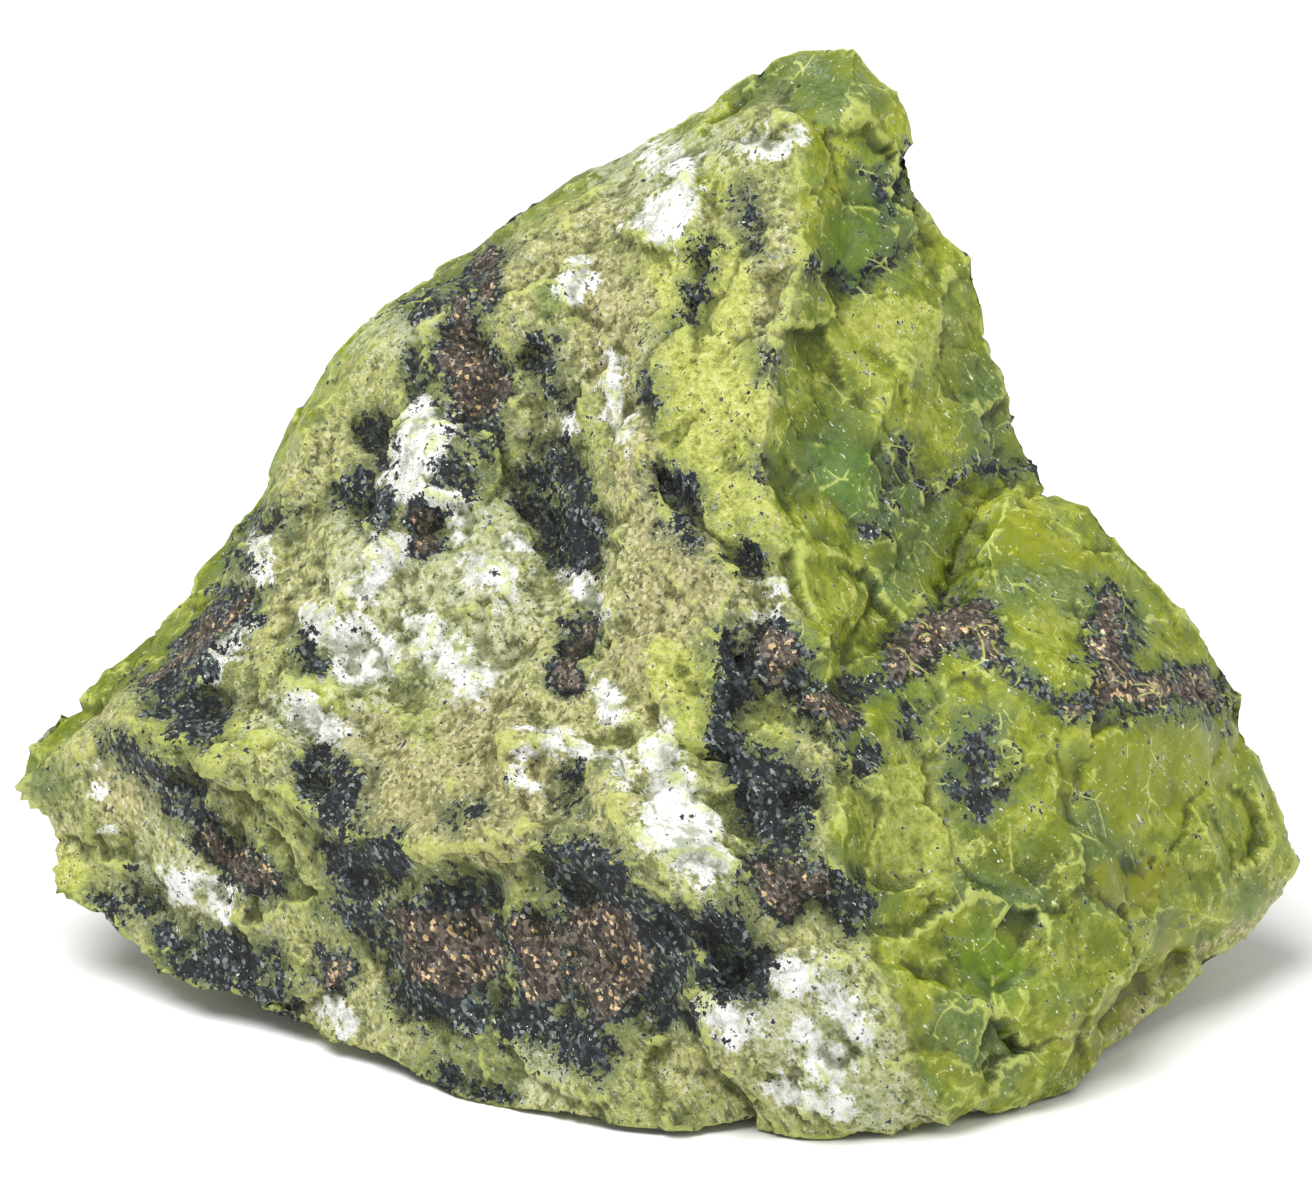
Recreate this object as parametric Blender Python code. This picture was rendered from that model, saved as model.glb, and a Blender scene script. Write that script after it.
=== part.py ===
"""A broken hand specimen of serpentine rock, about 128 mm wide, in one solid piece.

The stone is drawn as a front view, read in millimetres from the view's top left corner, with a
depth for each corner. A second set of corners gives the sides that the front view doesn't show.
The two sheets meet along the outline, and the flakes, ledges and scars are worked into them.
"""

import itertools
import math

import bmesh
import bpy
import numpy as np
from mathutils import Vector, bvhtree, geometry, noise

MM = 0.001
NAME = "serpentine_rock"

# The front view: how large it is, how far away the eye is, and how far above level.
VIEW_WIDTH = 131.2
VIEW_HEIGHT = 119.9
EYE_DISTANCE = 700.0
EYE_ELEVATION = math.radians(20.0)
MIDDLE_HEIGHT = 40.6  # the middle of the view, above the surface that the stone rests on

GRAIN = 1.3  # longest edge while the surface is being worked, or nearly so
REFINE_LEVELS = 5  # edges are first split down to this many doublings of the grain
REFINE_ROUNDS = 3
TRIANGLES = 9600  # what the finished solid keeps, about
SAME_CORNER = 0.001
MOST_ROUNDS = 40
THINNEST = 1.6  # on the far side, what is thinner than this is drawn in
FAR_SIDE = 20.0
DRAW_ROUNDS = 300
SNAP = 0.15  # points this close to the resting height are put on it

# How far inside and behind the outline the far side takes its first corners, on average.
RIM_INWARD = 3.0
RIM_BACK = 4.5

# About how wide the broken surfaces' scars and swells are, and how far they rise and fall.
WAXY_SCAR, WAXY_RELIEF = 13.0, 0.9
WAXY_CHIP, WAXY_CHIP_RELIEF = 6.5, 0.5
GRAINY_SCAR, GRAINY_RELIEF = 7.0, 0.7
GRAINY_LUMP, LUMP_RELIEF = 4.0, 0.5
REAR_SCAR, REAR_RELIEF = 24.0, 2.2
CALM_SHARE = 0.15  # how much of the relief is left on the broad smooth breaks
RIM_SHARE = 0.2  # how much of it is left along the outline

TOWARD = np.array([0.0, -math.cos(EYE_ELEVATION), math.sin(EYE_ELEVATION)])
UPWARD = np.array([0.0, math.sin(EYE_ELEVATION), math.cos(EYE_ELEVATION)])
ACROSS = np.array([1.0, 0.0, 0.0])
MIDDLE = np.array([0.0, 0.0, MIDDLE_HEIGHT])

# Each corner is (across, down, toward): where it shows in the view, and its depth towards the eye.
OUTLINE = [
    # the peak, then down the right shoulder
    (85.4, 4.8, -14), (86.8, 6.6, -14), (88.0, 8.3, -13.5), (89.6, 9.2, -13),
    (90.6, 12.5, -12), (91.4, 17.5, -10.5), (92.0, 19.6, -11), (93.6, 22.0, -12.5),
    (94.2, 23.6, -13), (96.4, 25.6, -13), (97.8, 27.6, -13), (98.2, 30.5, -13.5),
    (98.3, 33.5, -14), (99.0, 35.5, -14.5), (100.3, 36.8, -14.5), (100.5, 39.5, -14),
    (101.4, 42.5, -13), (103.2, 46.0, -11.5), (104.2, 49.3, -10),
    # the block at the lower right, down to its far corner
    (106.6, 50.1, -8), (108.8, 50.6, -7), (110.8, 53.2, -7), (113.0, 55.4, -8),
    (115.6, 58.0, -9), (118.0, 60.6, -10), (120.2, 63.6, -11), (123.0, 66.6, -12),
    (124.6, 69.4, -12), (124.7, 74.4, -10), (126.0, 75.6, -10.5), (127.0, 80.0, -10.5),
    (128.4, 84.0, -11), (129.6, 87.0, -11), (128.2, 89.4, -11.5), (126.2, 91.4, -10),
    # the undercut lower right edge
    (123.2, 94.6, -7), (119.6, 97.6, -4), (116.0, 100.2, -1), (112.4, 102.9, 3),
    (110.0, 104.4, 6.5), (108.7, 105.6, 9), (108.4, 107.2, 11.5), (106.8, 108.6, 14),
    (104.5, 108.9, 15), (101.0, 109.6, 17), (98.2, 110.9, 19.5), (95.6, 111.8, 21.5),
    # the foot
    (94.6, 112.9, 23), (92.4, 113.8, 24), (89.5, 113.7, 24), (86.4, 113.0, 23.5),
    (83.5, 113.4, 24), (80.8, 113.8, 24), (78.4, 112.4, 23), (76.0, 110.9, 21.5),
    # the rounded belly
    (73.4, 111.9, 22.5), (71.4, 112.3, 23), (68.8, 112.7, 23.5), (65.5, 112.8, 23.5),
    (61.0, 112.5, 22.5), (58.3, 111.8, 21.5), (56.4, 111.2, 20.5), (52.4, 110.9, 18.5),
    (49.4, 110.4, 17), (47.1, 110.0, 16), (45.5, 109.4, 15), (43.9, 108.5, 13.5),
    (41.6, 107.6, 12), (39.6, 106.4, 10), (37.6, 105.3, 8.5), (34.0, 104.3, 6.5),
    (32.6, 103.6, 5.5), (31.2, 102.3, 4), (29.4, 101.7, 3),
    # the undercut lower left edge
    (27.1, 101.0, 1.5), (25.3, 99.9, 0.5), (23.0, 99.0, -0.5), (20.0, 98.8, -2),
    (17.5, 97.5, -3.5), (16.1, 96.9, -4.5), (14.3, 94.8, -5.5), (12.2, 93.2, -7),
    (11.4, 92.0, -7.5), (9.5, 91.1, -8.5), (7.8, 90.6, -9.5), (5.6, 89.4, -10.5),
    (5.2, 86.6, -11.5), (5.6, 83.2, -12.5),
    # the left tip
    (4.8, 81.4, -12.5), (2.6, 80.2, -12), (1.2, 78.6, -12), (2.4, 76.4, -13), (3.0, 74.8, -14),
    # up the long back edge on the left
    (5.2, 72.2, -15.5), (8.4, 69.6, -17), (11.8, 66.8, -18), (13.8, 64.2, -19),
    (16.6, 62.0, -19.5), (18.8, 59.4, -20), (20.4, 56.8, -21), (22.6, 54.4, -22),
    (24.0, 51.6, -23), (26.2, 48.8, -23.5), (27.2, 45.4, -24), (29.0, 42.0, -25),
    (30.6, 39.0, -26), (33.2, 35.8, -27), (36.6, 32.2, -28), (39.8, 29.2, -28.5),
    (43.8, 27.0, -29), (47.2, 25.3, -29), (50.0, 22.0, -29), (53.2, 20.4, -28.5),
    (56.4, 18.3, -28), (60.0, 16.9, -27), (63.2, 15.1, -26), (66.2, 13.7, -25),
    (69.2, 11.6, -23), (72.2, 9.4, -21), (75.4, 7.8, -19), (77.2, 5.9, -18),
    (79.6, 5.1, -17), (82.6, 5.3, -16),
]

# Lines of the front that stay lines: ridges stand out, and hollows lie back.
RIDGES = {
    "top_back": [(77.2, 5.9, -18), (79.6, 6.4, -15.5), (83.2, 6.2, -14), (85.4, 4.8, -14)],
    "top_right": [(85.4, 4.8, -14), (85.2, 8.4, -10), (86.4, 11.2, -8)],
    "top_rim": [(72.2, 9.4, -21), (75.6, 10.8, -12), (80.4, 11.2, -8.5), (84.4, 10.8, -7.5),
                (86.4, 11.2, -8)],
    "upper_left": [(79.2, 12.1, -4), (74.6, 13.4, -7.5), (70.2, 14.8, -9), (66.2, 16.8, -10),
                   (62.4, 19.4, -11), (57.4, 21.4, -12), (52.6, 24.6, -12.5), (47.8, 27.8, -13),
                   (43.0, 30.2, -14), (39.2, 32.4, -14.5), (35.2, 36.4, -13.5),
                   (32.2, 40.8, -12.5), (30.2, 46.0, -12), (27.2, 51.2, -11), (25.6, 55.6, -10),
                   (24.4, 59.6, -9), (21.8, 64.0, -7), (19.6, 68.4, -5), (16.4, 69.6, -4.5),
                   (13.4, 71.8, -4)],
    "spine": [(79.2, 12.1, -4), (79.8, 17.0, -1), (79.9, 22.0, 2), (79.8, 26.6, 5),
              (78.8, 30.4, 7), (77.6, 34.0, 8.5), (76.8, 37.6, 10), (76.4, 42.0, 12),
              (76.2, 46.4, 13.5), (76.6, 50.6, 15), (77.4, 55.0, 17), (78.4, 60.4, 19.5),
              (80.4, 66.0, 22), (82.6, 71.6, 24.5), (83.6, 78.0, 26.5), (84.0, 84.4, 27.5),
              (86.4, 90.2, 27), (88.2, 96.4, 26), (90.0, 102.0, 26.5), (92.8, 107.6, 26),
              (94.8, 110.2, 24)],
    "brow": [(15.2, 75.6, 0), (20.0, 75.6, 3), (25.4, 76.4, 6), (30.2, 80.2, 9.5),
             (34.4, 83.2, 13), (40.2, 84.8, 17), (46.0, 84.4, 20), (52.0, 84.6, 23),
             (58.0, 85.4, 26), (63.0, 87.4, 29), (68.0, 90.2, 32), (71.8, 92.6, 34)],
    "under_brow": [(15.6, 77.2, -3), (20.6, 78.0, 0), (26.0, 80.0, 3), (31.6, 84.2, 7),
                   (36.0, 87.0, 11), (41.6, 88.0, 14), (47.4, 88.2, 17), (53.4, 88.4, 20),
                   (59.4, 89.4, 23), (65.0, 91.6, 26), (70.0, 94.6, 28.5), (75.2, 96.2, 28.5)],
    "white_vein": [(63.6, 71.6, 19.5), (65.2, 77.0, 24), (66.8, 82.4, 28), (69.4, 87.6, 31.5),
                   (71.8, 92.6, 34)],
    "beside_vein": [(69.6, 75.4, 22), (72.4, 82.0, 25.5), (74.6, 88.6, 28.5), (75.2, 96.2, 28.5)],
    "olive_plate": [(61.8, 26.4, -4), (62.6, 33.0, -0.5), (63.4, 40.0, 3.5), (64.8, 47.0, 8),
                    (68.0, 53.4, 13), (72.2, 56.2, 17), (75.0, 58.4, 19), (74.2, 61.6, 20),
                    (72.2, 66.4, 21)],
    "pale_ridge": [(44.2, 40.4, -5.5), (42.2, 45.8, -2.5), (38.2, 51.0, -2), (34.2, 57.2, -0.5),
                   (31.0, 63.0, 1)],
    "left_groove": [(36.6, 42.6, -11.5), (33.4, 48.8, -10), (29.6, 55.0, -8.5),
                    (26.6, 60.4, -6.5)],
    "cleft": [(42.4, 57.6, -0.5), (39.8, 62.4, 0.5), (35.2, 68.2, 1.5)],
    "block_edge": [(104.2, 49.3, -10), (100.4, 50.8, -2), (98.6, 54.0, 1.5), (99.6, 58.4, 5.5),
                   (101.6, 62.6, 8.5)],
    "block_gully": [(101.8, 48.0, -10), (98.0, 50.8, -6), (95.8, 54.6, -2), (94.6, 59.6, 3.5)],
    "vein_bend": [(84.4, 69.2, 19.5), (88.6, 64.8, 14.5), (94.4, 61.4, 8), (98.8, 60.6, 7),
                  (101.4, 66.6, 11), (105.2, 70.6, 12), (110.6, 70.0, 9), (117.0, 69.0, 3)],
    "facet_rim": [(101.0, 74.0, 15.5), (102.4, 79.0, 16), (105.4, 82.8, 15.5),
                  (108.8, 86.0, 14.5), (112.0, 90.6, 12.5)],
    "end_ridge": [(124.7, 74.4, -10), (122.0, 80.0, -2.5), (118.8, 82.8, 2), (116.0, 87.2, 6.5),
                  (114.8, 90.0, 9), (112.2, 92.0, 12)],
    "end_edge": [(126.0, 75.6, -10.5), (125.4, 83.0, -5.5), (125.0, 90.2, -4)],
    "lower_edge": [(126.2, 91.4, -10), (125.0, 90.2, -4), (123.2, 92.6, -1.5),
                   (118.4, 90.8, 5.5), (112.2, 92.0, 12), (113.4, 95.6, 13), (110.8, 98.4, 14),
                   (107.2, 101.4, 15.5), (105.4, 104.0, 17), (101.0, 107.2, 19),
                   (95.6, 106.4, 23), (91.8, 103.8, 25)],
    "ledge_line": [(123.4, 93.4, -5), (117.4, 96.0, 1), (112.0, 98.6, 7.5), (108.6, 101.6, 10.5),
                   (106.6, 104.4, 13)],
}

# Spots that give the faces between those lines their swell.
SPOTS = {
    "top_scoop": [(79.4, 8.8, -14), (82.6, 8.6, -12.5)],
    "top_band": [(73.0, 12.2, -11), (78.0, 11.8, -8)],
    "upper_face": [(66.4, 21.0, -5), (72.4, 23.6, -0.5), (74.4, 17.4, -3), (59.6, 24.6, -8),
                   (56.0, 30.4, -6), (50.2, 33.0, -8), (40.4, 38.0, -9.5), (69.0, 30.2, 1.5),
                   (70.6, 40.0, 7), (72.2, 47.4, 11)],
    "brown_pit": [(47.0, 37.4, -9), (52.8, 37.6, -6)],
    "dark_pit": [(53.8, 48.2, -1.5), (56.2, 54.2, 3)],
    "mottled_face": [(48.2, 50.2, 0.5), (49.4, 57.8, 4.5), (43.4, 62.6, 5), (47.2, 66.4, 9),
                     (52.4, 68.2, 11.5), (57.6, 63.4, 9.5), (60.2, 68.4, 15), (45.2, 72.4, 10.5),
                     (26.4, 66.2, -1), (26.6, 71.4, 1.5), (31.2, 74.6, 5), (33.2, 69.6, 5),
                     (36.4, 76.4, 9), (42.4, 78.4, 13.5), (50.2, 79.6, 17.5), (54.8, 75.6, 18.5),
                     (60.4, 79.6, 22.5), (67.6, 66.0, 19), (60.4, 57.0, 10)],
    "shelf": [(20.4, 71.8, 0), (24.6, 73.4, 4)],
    "left_end": [(2.4, 78.4, -11), (5.4, 75.6, -11), (9.6, 74.4, -8), (13.0, 78.4, -6.5),
                 (11.8, 82.6, -7), (6.4, 79.4, -10.5), (8.2, 84.4, -9.5), (11.4, 88.4, -8.5), (16.4, 90.0, -5),
                 (17.8, 86.6, -2.5), (20.6, 93.4, -2.5), (25.4, 96.2, 1), (19.2, 81.0, -1.5),
                 (22.4, 85.0, 0.5), (26.2, 89.0, 3.5), (31.4, 93.6, 6)],
    "belly": [(36.8, 93.4, 10), (38.2, 99.6, 9), (45.4, 95.0, 15), (46.4, 102.0, 14.5),
              (54.2, 96.0, 19.5), (55.2, 104.4, 19), (63.0, 98.4, 24), (63.4, 106.4, 23.5),
              (70.2, 100.4, 26), (71.0, 107.4, 25)],
    "foot_face": [(76.6, 101.6, 27.5), (80.0, 96.0, 27.5), (80.4, 106.6, 27), (85.4, 102.2, 27),
                  (86.4, 109.4, 26)],
    "vein_face": [(78.4, 78.0, 24.5), (78.8, 86.4, 27), (78.6, 70.2, 20.5), (80.6, 91.4, 27)],
    "right_face": [(83.6, 16.4, -5), (88.0, 17.0, -8), (84.4, 22.4, -5.5), (89.0, 24.2, -8),
                   (83.0, 27.8, -4), (88.6, 28.2, -6), (84.4, 34.0, -1), (91.0, 30.2, -6.5),
                   (94.4, 33.0, -9), (84.4, 41.0, 2.5), (90.6, 41.4, -1), (95.6, 40.2, -7),
                   (83.0, 48.6, 7), (89.4, 49.4, 3), (94.6, 47.4, -3.5), (99.0, 44.6, -9.5),
                   (82.4, 56.4, 12), (88.2, 56.8, 7), (83.6, 62.4, 15.5), (91.0, 53.4, 3)],
    "block_face": [(104.6, 54.0, 0), (107.4, 58.4, 2), (105.4, 63.2, 7.5), (111.4, 61.4, 0),
                   (113.4, 65.6, 3), (118.4, 65.4, -4), (121.4, 70.4, -4.5)],
    "broad_face": [(90.4, 70.4, 17.5), (96.4, 67.4, 12.5), (90.4, 78.0, 20.5),
                   (96.2, 75.4, 17.5), (90.4, 85.4, 23), (97.2, 82.8, 19.5), (93.4, 90.6, 23.5),
                   (100.6, 87.2, 18.5)],
    "smooth_facet": [(108.2, 75.4, 12), (113.4, 74.2, 7.5), (119.4, 75.2, 0.5),
                     (109.6, 80.4, 10.5), (115.2, 79.6, 5), (112.4, 86.0, 8.5)],
    "end_facets": [(120.4, 86.4, 1), (118.4, 88.8, 4), (127.2, 86.0, -8)],
    "flakes": [(94.2, 96.4, 21.5), (99.6, 95.6, 19.5), (104.6, 92.4, 18), (109.4, 94.8, 15.5),
               (98.2, 101.4, 21), (104.0, 99.6, 18.5)],
    "under_facets": [(98.6, 108.6, 19.5), (103.4, 107.4, 16.5), (118.4, 93.8, 0.5),
                     (114.0, 96.2, 6)],
}

# The sides that the front view doesn't show: (x, y, z) with y away from the eye, z above the rest.
REAR = [
    # behind the peak
    (20, 36, 79), (28, 32, 68), (4, 44, 68),
    # the back wall
    (20, 50, 58), (-10, 52, 52), (35, 42, 46), (-24, 48, 42), (2, 56, 38), (22, 52, 33),
    (-30, 46, 26), (-42, 33, 25), (46, 32, 28), (48, 22, 33), (-4, 52, 17), (20, 47, 13),
    (-26, 39, 11), (38, 35, 13), (51, 21, 15), (-47, 19, 15), (55, 8, 12), (-50, 8, 16), (-58, 12, 15),
    # the underside, above what the stone stands on
    (-41, 2, 8), (-35, -9, 5), (48, 2, 6), (44, -11, 3), (-22, 26, 3), (8, 33, 3), (30, 24, 3),
]

# What the stone stands on: these corners lie a little too low, and are then pressed flat.
KEEL_DEPTH = 1.2
KEEL = [(-16, -20), (2, -27), (13, -29.5), (26, -33), (34, -20), (28, 8), (8, 18), (-12, 12),
        (-19, -4)]

# Edges of flakes that stand proud of the face beyond them. Walking along a line, the flake is on
# the right hand. Each line is (across, down) in the view, then the height of its edge and how far
# back over the flake the height fades away.
FLAKES = [
    ([(77.0, 48.6), (80.2, 54.6), (83.2, 56.2), (85.2, 60.0), (82.4, 64.4)], 1.1, 6),
    ([(90.6, 37.4), (87.4, 43.2), (86.6, 49.6), (88.8, 55.0), (86.2, 61.0)], 0.9, 7),
    ([(86.0, 54.0), (89.6, 49.0), (92.8, 48.0), (96.6, 46.4), (103.0, 46.4)], 0.8, 5),
    ([(92.4, 22.6), (88.6, 26.2), (84.6, 27.6), (81.4, 27.0)], 0.7, 5),
    ([(84.2, 83.0), (84.6, 86.2), (86.0, 88.2), (90.4, 89.0), (93.2, 87.4), (97.0, 88.6)], 0.9, 8),
    ([(104.8, 75.2), (105.8, 79.0), (106.0, 82.2), (109.4, 84.6)], 0.9, 5),
    ([(105.0, 93.2), (106.2, 88.6), (109.0, 89.6), (111.6, 91.2)], 0.5, 5),
    ([(113.2, 93.8), (113.6, 96.2), (110.8, 98.4), (107.2, 101.4), (105.4, 104.2)], 0.8, 7),
    ([(100.2, 103.4), (101.2, 105.6), (103.6, 105.6), (105.6, 103.8)], 1.0, 4),
    ([(92.4, 98.4), (95.6, 100.4), (99.8, 100.2), (104.4, 97.6), (104.0, 94.0)], 0.8, 6),
    ([(91.6, 105.6), (95.2, 106.2), (99.0, 108.0), (101.2, 107.8), (103.2, 105.6)], 0.9, 5),
    ([(124.0, 69.0), (116.0, 70.2), (109.2, 74.0), (108.6, 76.6)], -0.8, 6),
    ([(16.4, 76.4), (20.6, 75.6), (25.2, 74.0), (28.0, 74.6)], 0.9, 5),
    ([(30.4, 66.0), (31.6, 70.2), (34.6, 69.4), (35.2, 66.6)], 0.8, 4),
    ([(52.8, 74.2), (56.4, 74.0), (60.2, 75.6), (62.8, 78.8)], 1.2, 5),
    ([(71.6, 75.2), (68.4, 74.6), (65.0, 71.0), (62.4, 66.4), (60.4, 62.0)], 1.0, 6),
    ([(46.0, 69.0), (49.4, 70.4), (52.8, 72.6), (53.4, 76.4)], 0.8, 5),
    ([(58.4, 38.0), (60.6, 43.4), (62.4, 48.8), (66.4, 55.0)], 0.7, 5),
    ([(31.0, 62.0), (34.6, 58.4), (38.4, 54.4), (41.6, 50.4)], 0.8, 5),
    ([(70.4, 92.6), (66.4, 86.4), (62.6, 82.6), (60.4, 79.6)], 0.7, 4),
    ([(76.2, 111.2), (74.2, 108.8), (71.2, 106.0), (69.2, 100.4), (72.4, 98.6)], 1.8, 6),
    ([(78.8, 97.6), (84.0, 95.4), (88.4, 97.0)], 1.0, 6),
]

# Furrows between the layers: (across, down) in the view, then half the width and the depth.
FURROWS = [
    ([(109.6, 102.2), (113.2, 99.6), (118.4, 96.0)], 1.6, 1.6),
    ([(104.0, 49.6), (98.6, 52.4), (96.0, 55.8), (95.2, 59.2)], 1.4, 0.9),
    ([(66.0, 48.2), (69.8, 52.8), (75.2, 56.6), (76.2, 60.6), (74.4, 65.8)], 1.3, 1.2),
    ([(65.6, 71.4), (68.0, 74.8), (71.8, 75.8)], 1.0, 0.9),
    ([(62.0, 36.0), (62.6, 40.4), (62.2, 44.6)], 1.2, 0.7),
    ([(52.2, 48.4), (54.4, 54.0), (56.0, 58.6)], 1.8, 0.9),
]

# Pits where grains have dropped out: across, down, radius and depth.
PITS = [
    (47.4, 34.4, 2.2, 1.4), (48.2, 39.2, 2.2, 1.4), (52.8, 35.8, 1.8, 1.1), (43.0, 53.0, 2.2, 1.4),
    (54.4, 50.6, 2.8, 1.3), (37.6, 44.4, 2.2, 1.0), (36.2, 50.4, 2.2, 1.0), (57.4, 65.4, 2.2, 1.1),
    (70.2, 26.6, 1.8, 1.0), (21.0, 69.6, 2.2, 1.0), (31.6, 78.4, 2.2, 1.0), (22.6, 84.6, 2.4, 1.0),
    (53.4, 92.6, 2.4, 1.1), (46.2, 93.2, 2.2, 1.0), (79.6, 80.4, 2.2, 0.9), (98.0, 76.4, 2.4, 0.7),
]

# Broad smooth breaks that small scars don't mark: across, down and radius.
CALM = [
    (115.0, 76.0, 8.0), (109.0, 80.0, 5.5), (12.6, 79.0, 5.0), (82.0, 8.6, 4.0),
    (99.0, 96.0, 4.0), (121.0, 75.0, 5.0), (84.6, 24.0, 3.5), (84.6, 47.0, 3.5),
]


def placed(corners):
    """Turns corners of the front view into points of the stone."""
    across, down, toward = np.array(corners, dtype=float).T
    spread = (EYE_DISTANCE - toward) / EYE_DISTANCE
    right = (across - VIEW_WIDTH / 2) * spread
    up = (VIEW_HEIGHT / 2 - down) * spread
    return MIDDLE + np.outer(right, ACROSS) + np.outer(up, UPWARD) + np.outer(toward, TOWARD)


def viewed(points):
    """The opposite of placed: across, down and toward for points of the stone."""
    offset = np.asarray(points, dtype=float) - MIDDLE
    toward = offset @ TOWARD
    spread = (EYE_DISTANCE - toward) / EYE_DISTANCE
    across = offset @ ACROSS / spread + VIEW_WIDTH / 2
    down = VIEW_HEIGHT / 2 - offset @ UPWARD / spread
    return np.column_stack((across, down, toward))


def sheet(loops, lines, spots):
    """Joins view corners into triangles, and keeps every loop and line as edges."""
    corners, edges = [], []
    for line in loops + lines:
        first = len(corners)
        corners += [tuple(corner) for corner in line]
        edges += [(i, i + 1) for i in range(first, len(corners) - 1)]
        if line in loops:
            edges.append((len(corners) - 1, first))
    corners += [tuple(corner) for corner in spots]
    flat = [Vector(corner[:2]) for corner in corners]
    sites, _, triangles, origins, _, _ = geometry.delaunay_2d_cdt(flat, edges, [], 1, SAME_CORNER)
    joined = [(site[0], site[1], corners[origin[0]][2]) for site, origin in zip(sites, origins)]
    return placed(joined), triangles


def turned_rim():
    """Corners just behind the outline, so that the far side leaves it bluntly."""
    outline = np.array(OUTLINE[::2], dtype=float)
    inward = outline[:, :2].mean(axis=0) - outline[:, :2]
    inward /= np.linalg.norm(inward, axis=1)[:, None]
    vary = 0.7 + 0.6 * chance(outline, 9)
    return np.column_stack((
        outline[:, :2] + inward * RIM_INWARD * vary[:, None],
        outline[:, 2] - RIM_BACK * vary[::-1],
    ))


def cage():
    """The whole stone in large plane faces, with sharp corners."""
    front = sheet([OUTLINE], list(RIDGES.values()), sum(SPOTS.values(), []))
    keel = [(x, y, -KEEL_DEPTH) for x, y in KEEL]
    behind = np.vstack((turned_rim(), viewed(REAR)))
    rear = sheet([OUTLINE], [viewed(keel + keel[:1]).tolist()], behind.tolist())
    solid = bmesh.new()
    for points, triangles in (front, rear):
        corners = [solid.verts.new(point) for point in points]
        for triangle in triangles:
            solid.faces.new([corners[i] for i in triangle])
    bmesh.ops.remove_doubles(solid, verts=solid.verts, dist=SAME_CORNER)
    bmesh.ops.recalc_face_normals(solid, faces=solid.faces)
    return solid


def refine(solid):
    """Splits long edges, the longest ones first, until none is longer than the working grain."""
    for level in range(REFINE_LEVELS, -1, -1):
        longest = GRAIN * 2 ** level
        for _ in range(REFINE_ROUNDS):
            split = [edge for edge in solid.edges if edge.calc_length() > longest]
            bmesh.ops.subdivide_edges(solid, edges=split, cuts=1)
            bmesh.ops.triangulate(solid, faces=[face for face in solid.faces if len(face.verts) > 3])


def distances(points, line):
    """For each point, how far it is from a line of straight pieces, and on which hand of it."""
    points, line = np.asarray(points), np.asarray(line, dtype=float)
    nearest = np.full(len(points), np.inf)
    hand = np.zeros(len(points))
    for start, end in zip(line[:-1], line[1:]):
        run = end - start
        along = np.clip((points - start) @ run / (run @ run), 0, 1)
        away = points - start - np.outer(along, run)
        distance = np.linalg.norm(away, axis=1)
        closer = distance < nearest
        nearest = np.where(closer, distance, nearest)
        hand = np.where(closer, np.sign(run[0] * away[:, 1] - run[1] * away[:, 0]), hand)
    return nearest, hand


def fade(value, low, high):
    """Rises smoothly from 0 at low to 1 at high."""
    part = np.clip((value - low) / (high - low), 0, 1)
    return part * part * (3 - 2 * part)


def chance(cells, salt):
    """One number from 0 to 1 for each cell, always the same for the same cell and salt."""
    mixed = np.sin(cells @ np.array([12.9898, 78.233, 37.719]) + salt * 4.1414) * 43758.5453
    return mixed - np.floor(mixed)


def scars(points, size, salt):
    """Shallow bowls of about this size that meet in sharp ridges, from about -1 to 1."""
    scaled = points / size
    home = np.floor(scaled)
    lowest = np.full(len(points), np.inf)
    for step in itertools.product((-1, 0, 1), repeat=3):
        cell = home + step
        away = scaled - cell - np.column_stack([chance(cell, salt + i) for i in range(3)])
        lean = np.column_stack([chance(cell, salt + 3 + i) - 0.5 for i in range(3)])
        bowl = (away ** 2).sum(axis=1) + (away * lean).sum(axis=1) * 1.6 + 0.6 * chance(cell, salt + 6)
        lowest = np.minimum(lowest, bowl)
    return (lowest - lowest.mean()) / lowest.std() / 2


def lumps(points, size):
    """Gentle swells of about this size, from about -1 to 1."""
    return np.array([noise.noise(Vector(point)) for point in points / size]) * 2


def normals(points, triangles):
    """The direction that the surface faces at each point."""
    a, b, c = (points[triangles[:, i]] for i in range(3))
    facing = np.cross(b - a, c - a)
    total = np.zeros_like(points)
    for i in range(3):
        np.add.at(total, triangles[:, i], facing)
    return total / np.maximum(np.linalg.norm(total, axis=1), SAME_CORNER ** 2)[:, None]


def soften(points, triangles, amount, rounds):
    """Moves each point part of the way to the middle of its neighbours, several times over."""
    ends = np.vstack([triangles[:, pair] for pair in ([0, 1], [1, 2], [2, 0])])
    count = np.bincount(ends[:, 0], minlength=len(points))
    for _ in range(rounds):
        middle = np.zeros_like(points)
        np.add.at(middle, ends[:, 0], points[ends[:, 1]])
        points = points + (middle / count[:, None] - points) * amount[:, None]
    return points


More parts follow.
